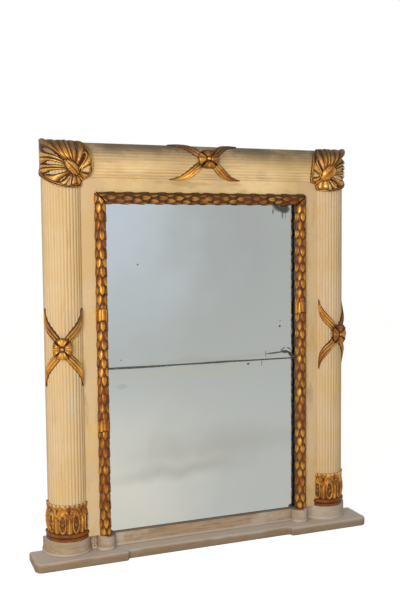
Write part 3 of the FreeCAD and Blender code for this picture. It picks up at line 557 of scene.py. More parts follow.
# Lines of the fan: outer end, middle and inner end, in and down from the corner in millimetres as seen from
# the front, then the heights along the line and how far the outer end is rolled.
PALMETTE_FAN = (
    ((144, 150), (137, 142), (131, 133), LIP, 0.6),
    ((137, 170), (131, 154), (125, 136), BROAD, 0.9),
    ((117, 175), (119, 153), (118, 134), FLUTE, 0.8),
    ((104, 177), (103, 152), (108, 133), BROAD, 0.9),
    ((84, 177), (89, 157), (101, 133), END_LENS, 1.0),
    ((57, 173), (77, 152), (96, 131), CREST, 1.0),
    ((34, 166), (66, 143), (91, 125), HOLLOW, 1.0),
    ((15, 152), (45, 132), (86, 119), BROAD, 1.0),
    ((0, 128), (41, 118), (81, 112), LENS, 1.0),
    ((-10, 110), (30, 107), (77, 109), CREST, 0.6),
    ((-13, 102), (34, 102), (74, 106), FLUTE, 0.2),
    ((-13, 96), (34, 96), (73, 102), CREST, 0.0),
    ((-13, 82), (30, 84), (71, 96), LENS, 0.0),
    ((-13, 67), (27, 73), (69, 90), CREST, 0.0),
    ((-13, 59), (27, 66), (67, 84), FLUTE, 0.0),
    ((-13, 50), (24, 56), (65, 78), CREST, 0.0),
    ((-13, 30), (13, 38), (64, 73), SHORT_LENS, 0.0),
    ((-13, 6), (24, 31), (65, 69), FLUTE, 0.0),
    ((-13, -13), (28, 28), (68, 68), SPINE, 0.0),
    ((6, -13), (34, 26), (72, 67), FLUTE, 0.0),
    ((30, -13), (49, 22), (77, 65), BROAD, 0.0),
    ((46, -13), (60, 30), (83, 64), FLUTE, 0.0),
    ((62, -13), (75, 26), (90, 65), BROAD, 0.0),
    ((72, -12), (82, 28), (96, 67), FLUTE, 0.0),
    ((82, -10), (89, 27), (102, 69), CREST, 0.0),
    ((92, -8), (96, 28), (107, 72), FLUTE, 0.0),
    ((106, -3), (108, 29), (112, 76), BROAD, 0.2),
    ((121, 3), (122, 33), (117, 81), PIT, 0.5),
    ((137, 7), (134, 40), (122, 86), CREST, 1.0),
    ((150, 14), (144, 50), (127, 91), FLUTE, 1.0),
    ((162, 28), (152, 64), (130, 96), HOLLOW, 1.0),
    ((175, 60), (158, 84), (134, 102), CREST, 1.0),
    ((179, 100), (159, 108), (137, 111), END_LENS, 1.0),
    ((170, 133), (156, 127), (139, 119), BROAD, 1.0),
    ((150, 144), (141, 136), (133, 129), LIP, 0.6),
)
# Curled strands beside the bud: their points in millimetres, and their half width in metres.
VOLUTES = (
    (((128, 104), (136, 92), (147, 76), (156, 58), (150, 46), (140, 52)), 0.0046),
    (((134, 112), (140, 98), (149, 84), (158, 70)), 0.0036),
    (((3, 82), (10, 78), (14, 72)), 0.0034),
    (((127, 127), (135, 135), (146, 146)), 0.0056),
)
FAN_STEPS = 5
FAN_REACH = 44
PIERCED_BELOW = -0.0042


def corner_lap():
    """How far in from the corner a round meets the flat frieze."""
    return sizes().column_radius * 1.76


def span_of(inward):
    """Distance over a round from its outer side, for a distance in from it seen from the front."""
    if inward < 0:
        return inward
    radius = sizes().column_radius
    arc = radius * math.acos(1 - min(inward, corner_lap()) / radius)
    return arc + max(inward - corner_lap(), 0.0)


def inward_of(span):
    """Distance in from the outer side seen from the front, for a distance over a round."""
    if span < 0:
        return span
    radius = sizes().column_radius
    past = span - span_of(corner_lap())
    return corner_lap() + past if past > 0 else radius * (1 - math.cos(span / radius))


def corner_surface(side):
    """Gives places on the mitred corner: spans in and down from it, and height off the surface."""
    s = sizes()
    radius = s.column_radius

    def depth_at(near):
        if near < 0:
            return s.column_stilt + near
        sine = min(max(1 - near / radius, -1.0), 1.0)
        rounded = s.column_stilt + radius * math.sqrt(1 - sine * sine)
        return max(rounded, FRIEZE_DEPTH) if near > radius else rounded

    def facing(distance):
        sine = max(1 - max(distance, 0.0) / radius, -0.45)
        sine *= 1 - clamp((distance - 0.116) / 0.024)
        return sine, math.sqrt(1 - sine * sine)

    def place(span_in, span_down, rise):
        inward = inward_of(span_in)
        down = inward_of(span_down)
        sine, cosine = facing(inward)
        column_out = Vector((side * sine, -cosine, 0))
        sine, cosine = facing(down)
        top_out = Vector((0, -cosine, sine))
        on_column = clamp((down - inward) / 0.010 + 0.5)
        out = top_out.lerp(column_out, on_column)
        crease = 4 * on_column * (1 - on_column)
        out *= 1 + (2 / (1 + column_out.dot(top_out)) - 1) * crease
        base = Vector((side * (s.frame_width / 2 - max(inward, 0.0)), WALL_Y - depth_at(min(inward, down)),
                       s.frame_height - max(down, 0.0)))
        return base + out * rise

    return place


def make_palmette(member):
    """Corner leaf on the mitre: one fluted and pierced fan, with a spine, volutes and an almond bud."""
    s = sizes()
    bm, relief = carving()
    side = side_of(member)
    place = corner_surface(side)
    bud = Vector((span_of(s.bud_place), span_of(s.bud_place)))
    outers, middles, inners = ([Vector([span_of(value / MILLIMETRES) for value in line[part]])
                                for line in PALMETTE_FAN] for part in range(3))
    inners = [bud.lerp(inner, 0.82) for inner in inners]
    last = len(PALMETTE_FAN) - 1

    def fan_height(share, reach, edge):
        at = share * last
        first = min(int(at + 0.000001), last - 1)
        ease = clamp(at - first)
        here, there = PALMETTE_FAN[first], PALMETTE_FAN[first + 1]
        rim = here[4] + (there[4] - here[4]) * ease
        low, high = graded(here[3], reach), graded(there[3], reach)
        if high < low:
            low, high, ease = high, low, 1 - ease
        height = low + (high - low) * math.sin(QUARTER * ease) ** 0.75
        roll = max(0.10, 0.92 * dome((edge - 0.0044) / 0.0042), 0.80 * dome((edge - 0.0122) / 0.0030))
        height += (roll - height) * rim * clamp((0.0172 - edge) / 0.0020)
        return s.leaf_rise * height * min(0.35 + edge / 0.004, 1.0)

    def fan_place(share, t):
        reach = 1 - (1 - (t + 1) / 2) ** 1.5
        outer, middle, inner = (path_at(points, share) for points in (outers, middles, inners))
        flat = (inner * ((1 - reach) * (1 - 2 * reach)) + middle * (4 * reach * (1 - reach))
                + outer * (reach * (2 * reach - 1)))
        return flat, fan_height(share, reach, (1 - reach) * (outer - inner).length)

    def laid(share, t, top):
        flat, height = fan_place(share, t)
        shown = clamp((height / s.leaf_rise - 0.20) / 0.50)
        return place(flat.x, flat.y, max(height, -0.008) if top else -0.0085), (shown if top else 0.0)

    add_carving(bm, relief, last * FAN_STEPS, FAN_REACH, laid,
                lambda share, t: fan_place(share, t)[1] < PIERCED_BELOW)
    for points, width in VOLUTES:
        path = [[span_of(value / MILLIMETRES) for value in point] for point in points]
        add_strand(bm, relief, path, lambda share: width * (1.1 - 0.4 * share),
                   lambda t: 0.0015 + s.leaf_rise * 0.72 * dome(t), place)
    add_bud(bm, relief, side)
    finish_piece(member + "_corner_palmette", bm)


def add_bud(bm, relief, side):
    """The almond bud on the mitre: cleft along its middle, ribbed on its lower half, broader on the right."""
    s = sizes()
    radius = s.column_radius
    lateral = Vector((side, 0, -1)).normalized()

    def on_mitre(inward):
        sine = 1 - inward / radius
        depth = s.column_stilt + radius * math.sqrt(1 - sine * sine)
        return Vector((side * (s.frame_width / 2 - inward), WALL_Y - depth, s.frame_height - inward))

    start = on_mitre(s.bud_place)
    lengthwise = (on_mitre(s.bud_place + 0.01) - start).normalized()
    out = lateral.cross(lengthwise).normalized()
    if out.y > 0:
        out = -out
    heart = start + out * 0.0045
    ball = bmesh.ops.create_uvsphere(bm, u_segments=48, v_segments=30, radius=1.0)["verts"]
    for vert in ball:
        u, v, w = vert.co
        pointed = 1 - 0.25 * w * w
        broad = pointed
        if side > 0:
            broad = 1.28 * (math.sqrt(1 + w * w) if w < 0 else pointed)
        aside = u * s.bud_radius * broad
        cleft = math.exp(-(aside / 0.0016) ** 2) * (0.4 if side > 0 else 1.0)
        ribs = (0.5 - 0.5 * math.cos(u * 18)) * (1.0 if u > 0 or side > 0 else 0.45)
        proud = v * s.bud_radius * 0.80 * pointed
        if v > 0:
            proud -= (0.0042 * cleft + 0.0018 * ribs) * dome(w)
        vert.co = heart + lengthwise * (w * s.bud_length / 2) + lateral * aside + out * proud
        vert[relief] = 1.0 - 0.95 * cleft - 0.30 * ribs


# Laurel moulding

RIBBON_BANDS = {"left": (0.528, 0.955), "right": (0.955,), "top": ()}
RIBBON_HEIGHT = 0.050
PLUMP_TURNS = (-38, 38)
EDGE_TURNS = (-76, 0, 76)
LOW_FULLNESS = 0.62


def add_laurel(bm, relief, place, turn, along, heading, radius, fullness, darker_on_top):
    """One laurel leaf, its tip towards heading: a plump one, or a low one behind the others."""
    s = sizes()
    plump = fullness == 1
    width = radius * math.radians(76) * (0.62 if plump else 0.46)

    def laid(share, t, top):
        flat_across = turn * radius + t * width * swell(share, 0.42, 0.56)
        flat_along = along + heading * (share - 0.5) * s.laurel_length * 1.06
        keel = 1 - abs(t) ** 2.2
        crown = 0.34 + 0.66 * math.sin(math.pi * min(share * 0.70, 1.0)) ** 1.2
        vein = 1 - 0.24 * math.exp(-(t / 0.20) ** 2)
        rise = 0.0002 + s.laurel_rise * fullness * crown * keel * vein if top else -SINK
        # The relief paints shade: the low leaves behind the others come out darker; the top moulding is
        # darker all along.
        shown = (1.20 * keel * crown * vein - 0.42 - 0.12 * darker_on_top) * fullness ** 1.5
        return place(flat_across, flat_along, rise), (shown if top else 0.0)

    add_carving(bm, relief, 7 if plump else 4, 8 if plump else 4, laid)


def make_laurel(member):
    """Laurel-leaf torus moulding, mitred at the top corners."""
    s = sizes()
    bm, relief = carving()
    radius = s.moulding_width / 2 - 0.0035
    node = member + "_leaf_moulding"
    low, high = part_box(node)
    is_top = member == "top"
    axis = (low.z + high.z) / 2 if is_top else (abs(low.x) + abs(high.x)) / 2
    place = round_place(member, axis, radius, FRIEZE_DEPTH)
    start, end = (low.x, high.x) if is_top else (low.z, high.z)
    length = end - start

    def core(share, t, top):
        across = t * radius * QUARTER * 1.06
        return place(across, start + share * length, -0.0004 if top else -radius * 0.96), 0.0

    add_carving(bm, relief, 4, 16, core)
    rows = int(round(length / s.laurel_pitch))
    darker_on_top = 0.9 if is_top else 0.0
    for row in range(-1, rows + 2):
        turns, behind = (EDGE_TURNS, PLUMP_TURNS) if row % 2 else (PLUMP_TURNS, EDGE_TURNS)
        along = start + (row + 0.5) * length / rows
        swayed = 4.0 * math.sin(row * 1.7)
        heading = 1 if is_top and along < 0 else -1
        for number, degrees in enumerate(turns):
            wander = noise.noise(Vector((row * 3.1, number * 5.7, axis * 9)))
            leaf_turn = math.radians(degrees + swayed + 8 * wander)
            add_laurel(bm, relief, place, leaf_turn, along + wander * 0.006, heading, radius, 1, darker_on_top)
        for degrees in behind:
            leaf_turn = math.radians(degrees + swayed)
            add_laurel(bm, relief, place, leaf_turn, along, heading, radius, LOW_FULLNESS, darker_on_top)
    for band in RIBBON_BANDS[member]:
        def ribbon(share, t, top):
            ridge = 0.5 + 0.5 * math.cos(t * 15)
            edge = min(share, 1 - share)
            flat_along = band + (share - 0.5) * RIBBON_HEIGHT - 0.010 * abs(t)
            rise = 0.0050 + 0.0016 * ridge * dome(1 - 2 * min(edge, 0.5)) if top else -SINK
            shown = (0.25 + 0.50 * ridge) * min(edge / 0.10, 1.0)
            return place(t * radius * QUARTER, flat_along, rise), (shown if top else 0.0)

        add_carving(bm, relief, 12, 32, ribbon)
    cut_mitres(bm, member, max(abs(low.x), abs(high.x)), high.z)
    if not is_top:
        cut_off(bm, (0, 0, start), (0, 0, -1))
    finish_piece(node, bm)


# Materials

class Finish:
    """A node tree while it is put together, with the colour that is laid so far."""

    def __init__(self, owner):
        owner.use_nodes = True
        self.tree = owner.node_tree
        self.tree.nodes.clear()
        self.colour = None

    def add(self, kind, values=None, **settings):
        """Adds a shader node, sets it up, and links or fills its inputs."""
        node = self.tree.nodes.new("ShaderNode" + kind)
        for key, value in settings.items():
            setattr(node, key, value)
        for key, value in (values or {}).items():
            if isinstance(value, bpy.types.NodeSocket):
                self.tree.links.new(value, node.inputs[key])
            elif node.inputs[key].type == "RGBA":
                node.inputs[key].default_value = (*value[:3], 1.0)
            else:
                node.inputs[key].default_value = value
        return node

    def place(self, scale=(1.0, 1.0, 1.0)):
        """Object coordinates, stretched."""
        place = self.add("TexCoord").outputs["Object"]
        return self.add("Mapping", {"Vector": place, "Scale": scale}).outputs[0]

    def level(self, axis):
        """The object coordinate along one axis."""
        return self.add("SeparateXYZ", {0: self.place()}).outputs[axis]

    def cloud(self, place, scale, detail=4.0, rough=0.55):
        """Soft noise."""
        values = {"Vector": place, "Scale": scale, "Detail": detail, "Roughness": rough}
        return self.add("TexNoise", values).outputs["Fac"]

    def remap(self, value, low, high, to_low=0.0, to_high=1.0):
        """Eases a value from one range into another."""
        values = {"Value": value, "From Min": low, "From Max": high, "To Min": to_low, "To Max": to_high}
        return self.add("MapRange", values, interpolation_type="SMOOTHSTEP").outputs[0]

    def calc(self, operation, first, second=0.5):
        """One sum, kept from 0 to 1."""
        return self.add("Math", {0: first, 1: second}, operation=operation, use_clamp=True).outputs[0]

    def times(self, first, second):
        """One value times another."""
        return self.calc("MULTIPLY", first, second)

    def vector(self, operation, first, second):
        """One sum of vectors."""
        return self.add("VectorMath", {0: first, 1: second}, operation=operation).outputs[0]

    def mix(self, share, first, second):
        """Mixes two colours."""
        values = {0: share, 6: first, 7: second}
        return self.add("Mix", values, data_type="RGBA", clamp_factor=True).outputs[2]

    def lay(self, tint, share, strength=1.0):
        """Lays a tint over the colour so far."""
        if strength < 1.0:
            share = self.times(share, strength)
        self.colour = self.mix(share, self.colour, tint)

    def stain(self, tint, value, low, high, most=1.0):
        """Lays a tint where a value passes from low to high."""
        self.lay(tint, self.remap(value, low, high, 0.0, most))

    def upward(self, low, high):
        """How far a surface faces up, where dirt collects and where light and shade are painted."""
        normal = self.add("NewGeometry").outputs["Normal"]
        return self.remap(self.add("SeparateXYZ", {0: normal}).outputs["Z"], low, high)

    def crevice(self, distance, low, high):
        """How enclosed a place is: 1 in a tight corner."""
        node = self.add("AmbientOcclusion", {"Distance": distance}, samples=6)
        return self.remap(node.outputs["AO"], high, low)

    def blot(self, place, x, z, half_width, half_height, turn=0.0, core=0.55):
        """A spot on an upright face: 1 out to the core's share of its size, 0 past its edge."""
        values = {"Vector": place, "Location": (x, 0.0, z), "Rotation": (0.0, turn, 0.0),
                  "Scale": (half_width, 1000.0, half_height)}
        near = self.add("Mapping", values, vector_type="TEXTURE").outputs[0]
        return self.remap(self.add("VectorMath", {0: near}, operation="LENGTH").outputs["Value"], 1.0, core)

    def close(self, rough, bump, more=None):
        """The surface shader, bumped by a height with its strength and distance, and the output."""
        values = {"Base Color": self.colour, "Roughness": rough, **(more or {})}
        if bump:
            bumped = self.add("Bump", dict(zip(("Height", "Strength", "Distance"), bump)))
            values["Normal"] = bumped.outputs[0]
        self.add("OutputMaterial", {"Surface": self.add("BsdfPrincipled", values).outputs[0]})

    def seen_white(self, lit, seen):
        """One shader for camera, glossy and transmission rays, and another for the rest."""
        rays = self.add("LightPath").outputs
        share = self.calc("MAXIMUM", rays["Is Camera Ray"], rays["Is Glossy Ray"])
        share = self.calc("MAXIMUM", share, rays["Is Transmission Ray"])
        return self.add("MixShader", {0: share, 1: lit.outputs[0], 2: seen.outputs[0]}).outputs[0]


def cream_paint(paint, grain, reeded):
    """Aged cream oil paint, streaked along the grain, with painted shade in the grooves, dirt and painted
    shade on top, and painted light making the members across the top paler.
    """
    c = colours()
    streak = paint.cloud(paint.place(grain), 5.0, 5.0, 0.6)
    broad = paint.cloud(paint.place(), 3.2, 3.0)
    patch = paint.cloud(paint.place(), 9.0, 3.0, 0.6)
    fine = paint.cloud(paint.place(), 90.0, 6.0, 0.65)
    # The members across the top take the paler cream as painted light.
    paint.colour = c.cream_top_lit if grain[0] < grain[2] else c.cream
    paint.stain(c.cream_warm, broad, 0.35, 0.68)
    paint.stain(c.cream_yellow, patch, 0.56, 0.68, 0.5)
    paint.stain(c.cream_grey, patch, 0.42, 0.32, 0.4)
    paint.stain(c.cream_dirt_and_shade, streak, 0.52, 0.75, 0.55)
    paint.stain(c.cream_dirt_and_shade, fine, 0.66, 0.78, 0.5)
    # Dirt and painted shade towards the top of the reeded members, and on what faces up elsewhere.
    if reeded:
        top_dirt_and_shade = paint.remap(paint.level("Z"), 1.508, 1.602)
    else:
        top_dirt_and_shade = paint.upward(0.12, 0.62)
        edge_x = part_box("right_frieze_stile")[0].x + 0.001
        edge_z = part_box("top_frieze_rail")[0].z + 0.001
        inside = paint.calc("LESS_THAN", paint.calc("ABSOLUTE", paint.level("X")), edge_x)
        paint.lay(c.recess, paint.times(inside, paint.calc("LESS_THAN", paint.level("Z"), edge_z)))
    # Painted shade in the grooves and corners.
    paint.lay(c.cream_dirt_and_shade, paint.crevice(0.03, 0.35, 0.85), 0.14)
    # Dirt and painted shade on what faces up.
    paint.lay(c.soot_and_shade, paint.times(top_dirt_and_shade, paint.remap(patch, 0.35, 0.6, 0.66, 0.95)))
    height = paint.calc("ADD", paint.times(fine, 0.35), paint.times(streak, 0.5))
    paint.close(paint.remap(broad, 0.3, 0.7, 0.5, 0.68), (height, 0.35, 0.0012))


def gilding(gilt):
    """Water gilding over red bole, toned, with painted shade in the recesses and hollows, a painted highlight
    on the crests, and dirt and painted shade where it faces up.
    """
    c = colours()
    broad = gilt.cloud(gilt.place(), 16.0, 4.0)
    fine = gilt.cloud(gilt.place(), 170.0, 5.0, 0.6)
    proud = gilt.add("Attribute", attribute_name="relief").outputs["Fac"]
    height = gilt.calc("ADD", gilt.times(broad, 0.6), gilt.times(fine, 0.4))
    # The relief becomes painted shade and light: low places take the dark ground, proud places the gold.
    lit = gilt.remap(proud, 0.05, 0.62)
    gilt.colour = c.gold
    gilt.stain(c.gold_deep, broad, 0.38, 0.60)
    gilt.stain(c.bole, height, 0.53, 0.64, 0.60)
    # Burnish and painted highlight on the crests.
    gilt.lay(c.gold_burnish_and_highlight, gilt.times(gilt.remap(proud, 0.70, 1.0), gilt.remap(fine, 0.35, 0.60, 0.1, 0.6)))
    # Dark ground for the low places: painted shade.
    ground = gilt.mix(gilt.remap(broad, 0.4, 0.6, 0.0, 0.55), c.recess, c.bole)
    gilt.colour = gilt.mix(lit, ground, gilt.colour)
    # Painted shade in the carving's recesses.
    gilt.lay(c.recess, gilt.crevice(0.012, 0.15, 0.80), 0.92)
    # Dirt and painted shade on the upper parts and on what faces up.
    high_up = gilt.remap(gilt.level("Z"), 1.548, 1.598, 0.0, 0.90)
    top_dirt_and_shade = gilt.calc("MAXIMUM", gilt.upward(0.18, 0.60), high_up)
    dust_and_shade = gilt.times(top_dirt_and_shade, gilt.remap(proud, 0.80, 1.0, 1.0, 0.84))
    gilt.lay(c.grime_and_shade, dust_and_shade, 0.94)
    bare = gilt.times(gilt.remap(proud, 1.15, 1.50), gilt.remap(fine, 0.40, 0.55, 0.45, 1.0))
    gilt.lay(c.gesso, bare)
    metallic = gilt.times(gilt.calc("SUBTRACT", gilt.calc("SUBTRACT", lit, dust_and_shade), bare), 0.45)
    rough = gilt.calc("ADD", gilt.remap(height, 0.3, 0.7, 0.28, 0.46), gilt.times(dust_and_shade, 0.25))
    gilt.close(rough, (height, 0.4, 0.0008), {"Metallic": metallic, "Specular IOR Level": 0.22})


def red_bole(clay):
    """Bare red-brown bole, worn by rubbing."""
    c = colours()
    broad = clay.cloud(clay.place(), 22.0, 5.0)
    clay.colour = c.bole
    clay.stain(c.gold_deep, broad, 0.4, 0.7)
    # Painted shade in the recesses.
    clay.lay(c.recess, clay.crevice(0.02, 0.3, 0.9))
    # Dirt and painted shade on what faces up.
    clay.lay(c.grime_and_shade, clay.upward(0.4, 0.9), 0.6)
    clay.close(clay.remap(broad, 0.3, 0.7, 0.35, 0.6), (broad, 0.3, 0.001), {"Specular IOR Level": 0.2})


PAINTED_HOLES = ((-0.4700, 0.0665), (-0.4690, 0.0485))
GLASS_HALF_WIDTH = 0.43


def plinth_paint(paint):
    """Old grey taupe paint, painted light on top, darker along the foot, with two holes at the left recess.
    """
    c = colours()
    grain = paint.cloud(paint.place((1.4, 6.0, 14.0)), 9.0, 6.0, 0.65)
    broad = paint.cloud(paint.place(), 7.0, 4.0)
    fine = paint.cloud(paint.place(), 120.0, 6.0, 0.7)
    paint.colour = c.plinth
    paint.stain(c.plinth_dark, grain, 0.42, 0.66, 0.62)
    paint.stain(c.plinth_pale_and_lit, broad, 0.50, 0.68, 0.5)
    paint.stain(c.plinth_warm, broad, 0.44, 0.34, 0.6)
    paint.stain(c.plinth_dark, fine, 0.60, 0.72, 0.45)
    # Painted shade in the plinth's crevices.
    paint.lay(c.soot_and_shade, paint.crevice(0.030, 0.25, 0.85), 0.85)
    # Painted light on the plinth's top faces.
    top = paint.upward(0.6, 0.95)
    paint.lay(c.plinth_pale_and_lit, top, 0.88)
    across, up = paint.level("X"), paint.level("Z")
    # Painted light, paler towards the right end of the plinth.
    paint.stain(c.plinth_pale_and_lit, across, 0.30, 0.60, 0.50)
    # Darker towards the bottom of the base board.
    paint.lay(c.plinth_dark, paint.calc("SUBTRACT", paint.remap(up, 0.036, 0.020), top), 0.78)
    # Painted contact shadow where the plinth meets the floor.
    paint.stain(c.soot_and_shade, up, 0.0045, 0.0015, 0.8)
    # Painted shadow along the top of the rail at the foot of the glass.
    under_glass = paint.calc("LESS_THAN", paint.calc("ABSOLUTE", across), GLASS_HALF_WIDTH)
    paint.lay(c.soot_and_shade, paint.times(under_glass, paint.calc("GREATER_THAN", up, 0.0870)), 0.80)
    # Painted highlight in a band at the foot of the plinth blocks.
    foot_highlight = paint.times(paint.remap(up, 0.048, 0.042), paint.remap(up, 0.0345, 0.0375))
    paint.lay(c.plinth_pale_and_lit, foot_highlight, 0.55)
    for x, z in PAINTED_HOLES:
        paint.lay(c.putty, paint.blot(paint.place(), x, z, 0.0095, 0.0085))
        # The dark centre of each hole is painted shade.
        paint.lay(c.recess, paint.blot(paint.place(), x, z, 0.0048, 0.0042))
    height = paint.calc("ADD", paint.times(grain, 0.6), paint.times(fine, 0.4))
    paint.close(paint.remap(grain, 0.3, 0.7, 0.55, 0.8), (height, 0.5, 0.0015))


# Painted reflections of the studio, laid as soft tints on the silvering: place across and up, half width and
# height, strength, and colour on screen.
PAINTED_REFLECTIONS = (
    (-0.40, 1.33, 0.60, 0.80, 0.80, (194, 204, 212)),
    (0.14, 1.30, 0.42, 0.50, 0.40, (156, 158, 157)),
    (-0.36, 0.24, 0.56, 0.46, 0.75, (202, 200, 190)),
    (0.02, 0.40, 0.52, 0.120, 0.50, (152, 150, 142)),
    (-0.10, 0.31, 0.46, 0.060, 0.45, (148, 146, 138)),
    (-0.10, 0.705, 0.60, 0.030, 0.35, (178, 178, 152)),
    (0.00, 0.745, 0.60, 0.022, 0.25, (146, 146, 138)),
)
# Black marks of the silvering: place across and up, half width and height, turn, and strength.
MIRROR_MARKS = (
    (0.00, 0.7368, 1.20, 0.0040, 0.004, 1.00),
    (-0.30, 0.7375, 0.20, 0.0060, 0.012, 0.95),
    (0.06, 0.7372, 0.16, 0.0060, -0.006, 0.70),
    (0.346, 1.380, 0.048, 0.038, 0.0, 1.00),
    (0.362, 1.360, 0.030, 0.022, 0.0, 0.95),
    (0.353, 1.336, 0.004, 0.020, 0.0, 0.80),
    (0.367, 1.332, 0.003, 0.014, 0.0, 0.50),
    (0.310, 1.350, 0.004, 0.013, 0.1, 0.90),
    (0.318, 0.7610, 0.052, 0.0042, -0.06, 0.95),
    (0.364, 0.7635, 0.026, 0.0078, 0.10, 1.00),
    (0.392, 0.7490, 0.026, 0.0090, 0.80, 1.00),
    (0.354, 0.7760, 0.016, 0.0034, -0.5, 0.80),
    (0.382, 0.7770, 0.014, 0.0034, 0.5, 0.80),
    (0.275, 0.7590, 0.0024, 0.019, 0.0, 0.75),
    (0.256, 0.7220, 0.0022, 0.014, 0.0, 0.75),
    (0.340, 0.8720, 0.006, 0.006, 0.0, 0.90),
    (0.342, 0.8950, 0.003, 0.004, 0.0, 0.70),
    (-0.277, 1.141, 0.005, 0.005, 0.0, 0.70),
    (0.1945, 0.7220, 0.008, 0.0060, 0.0, 0.85),
    (-0.350, 0.7690, 0.004, 0.004, 0.0, 0.60),
    (-0.348, 0.6650, 0.030, 0.014, 0.0, 0.12),
)


def old_mirror(glass):
    """Old silvering with painted reflections of the studio laid over it, black along the joint, cracked at
    its right end and foxed above.
    """
    c = colours()
    place = glass.place()
    fine = glass.cloud(place, 60.0, 6.0, 0.7)
    ragged = glass.cloud(place, 140.0, 5.0, 0.7)
    drift = glass.add("TexNoise", {"Vector": place, "Scale": 4.0, "Detail": 4.0}).outputs["Color"]
    drift = glass.vector("SUBTRACT", drift, (0.5, 0.5, 0.5))
    drift = glass.vector("MULTIPLY", drift, (0.5, 0.0, 0.16))
    drifted = glass.vector("ADD", place, drift)
    glass.colour = c.silver
    # Painted reflections of the studio.
    for x, z, half_width, half_height, strength, screen in PAINTED_REFLECTIONS:
        glass.lay(tone(*screen), glass.blot(drifted, x, z, half_width, half_height, core=0.0), strength)
    worn = 0.0
    for x, z, half_width, half_height, turn, strength in MIRROR_MARKS:
        mark = glass.times(glass.blot(place, x, z, half_width, half_height, turn), strength)
        worn = glass.calc("MAXIMUM", worn, mark)
    worn = glass.times(worn, glass.remap(ragged, 0.30, 0.48, 0.55, 1.0))
    worn = glass.calc("MAXIMUM", worn, glass.remap(fine, 0.72, 0.80, 0.0, 0.45))
    glass.lay(c.foxing, worn)
    glass.close(glass.remap(worn, 0.0, 1.0, 0.05, 0.6), None, {"Metallic": glass.remap(worn, 0.9, 0.2)})


def wood(timber, kind, grain, scale):
    """Bare old wood with growth rings along its length."""
    timber.colour = getattr(colours(), kind)
    dark = tuple(value * 0.45 for value in timber.colour)
    place = timber.place(grain)
    values = {"Vector": place, "Scale": scale, "Distortion": 6.0, "Detail": 3.0, "Detail Scale": 1.4}
    rings = timber.add("TexWave", values, wave_type="BANDS", bands_direction="Z").outputs["Fac"]
    fine = timber.cloud(place, 40.0, 6.0, 0.7)
    timber.lay(dark, rings, 0.5)
    timber.stain(dark, fine, 0.5, 0.75, 0.5)
    timber.stain(colours().soot_and_shade, timber.cloud(timber.place(), 4.0, 3.0), 0.5, 0.75, 0.45)
    timber.close(timber.remap(fine, 0.3, 0.7, 0.6, 0.85), (fine, 0.3, 0.0008))


def metal(fixing, kind, tarnish, rough):
    """Old metal with tarnish."""
    fixing.colour = getattr(colours(), kind)
    dark = tuple(value * tarnish for value in fixing.colour)
    fine = fixing.cloud(fixing.place(), 240.0, 5.0, 0.6)
    fixing.stain(dark, fine, 0.42, 0.66)
    fixing.close(fixing.remap(fine, 0.3, 0.7, rough, rough + 0.2), (fine, 0.2, 0.0003), {"Metallic": 0.9})


FINISHES = {
    "cream_upright": (cream_paint, (26.0, 26.0, 1.2), True),
    "cream_level": (cream_paint, (1.2, 26.0, 26.0), True),
    "cream_stile": (cream_paint, (5.0, 5.0, 1.2), False),
    "cream_rail": (cream_paint, (1.2, 5.0, 5.0), False),
    "gilding": (gilding,),
    "red_bole": (red_bole,),
    "plinth_paint": (plinth_paint,),
    "old_mirror": (old_mirror,),
    "pine_upright": (wood, "pine", (3.0, 3.0, 0.25), 12.0),
    "pine_level": (wood, "pine", (0.25, 3.0, 3.0), 12.0),
    "oak": (wood, "oak", (8.0, 2.0, 8.0), 20.0),
    "brass": (metal, "brass", 0.5, 0.28),
    "screw_steel": (metal, "steel", 0.4, 0.35),
    "nail_iron": (metal, "iron", 0.5, 0.5),
}
CARRIED_FINISHES = {
    "cream_stile": ("left_frieze_stile", "right_frieze_stile"),
    "cream_rail": ("top_frieze_rail",),
    "plinth_paint": ("base_board", "plinth_rail", "left_plinth_block", "right_plinth_block",
                     "left_small_block", "right_small_block"),
    "red_bole": ("left_bole_ring", "right_bole_ring"),
    "old_mirror": ("lower_mirror_plate", "upper_mirror_plate"),
    "pine_upright": ("left_back_stile", "right_back_stile", "glazing_slips"),
    "pine_level": ("top_back_rail", "bottom_back_rail", "corner_blocks", "backboard_1", "backboard_2",
                   "backboard_3", "backboard_4", "backboard_5"),
    "oak": ("tenon_pegs",),
    "brass": ("left_hanger_strap", "right_hanger_strap", "left_hanger_ring", "right_hanger_ring"),
    "screw_steel": ("column_screws", "hanger_screws", "top_member_screws", "base_screws"),
    "nail_iron": ("backboard_nails",),
}


def finish_named(name):
    """A finish by its name, made once."""
    full_name = "finish_" + name
    if full_name not in bpy.data.materials:
        maker, *settings = FINISHES[name]
        maker(Finish(bpy.data.materials.new(full_name)), *settings)
    return bpy.data.materials[full_name]


# Studio

CAMERA_PLACE = (-1.2182, -3.1077, 1.2308)
CAMERA_YAW = 0.3676
CAMERA_PITCH = -0.0708
CAMERA_ROLL = -0.0087
CAMERA_LENS = 49.92
SENSOR_HEIGHT = 36.0
WHITE = (1.0, 1.0, 1.0)
WARM_WHITE = (1.0, 0.98, 0.95)
FILL_STRENGTH = 0.36
FLOOR_REACH = 9.0
FLOOR_COLOUR = (0.62, 0.61, 0.60)
FLOOR_GLOW = 0.78
KEY_PLACE = (-2.4, -3.4, 1.30)
KEY_AIM = (0, 0, 0.85)
KEY_SIZE = 2.0
KEY_POWER = 112.0


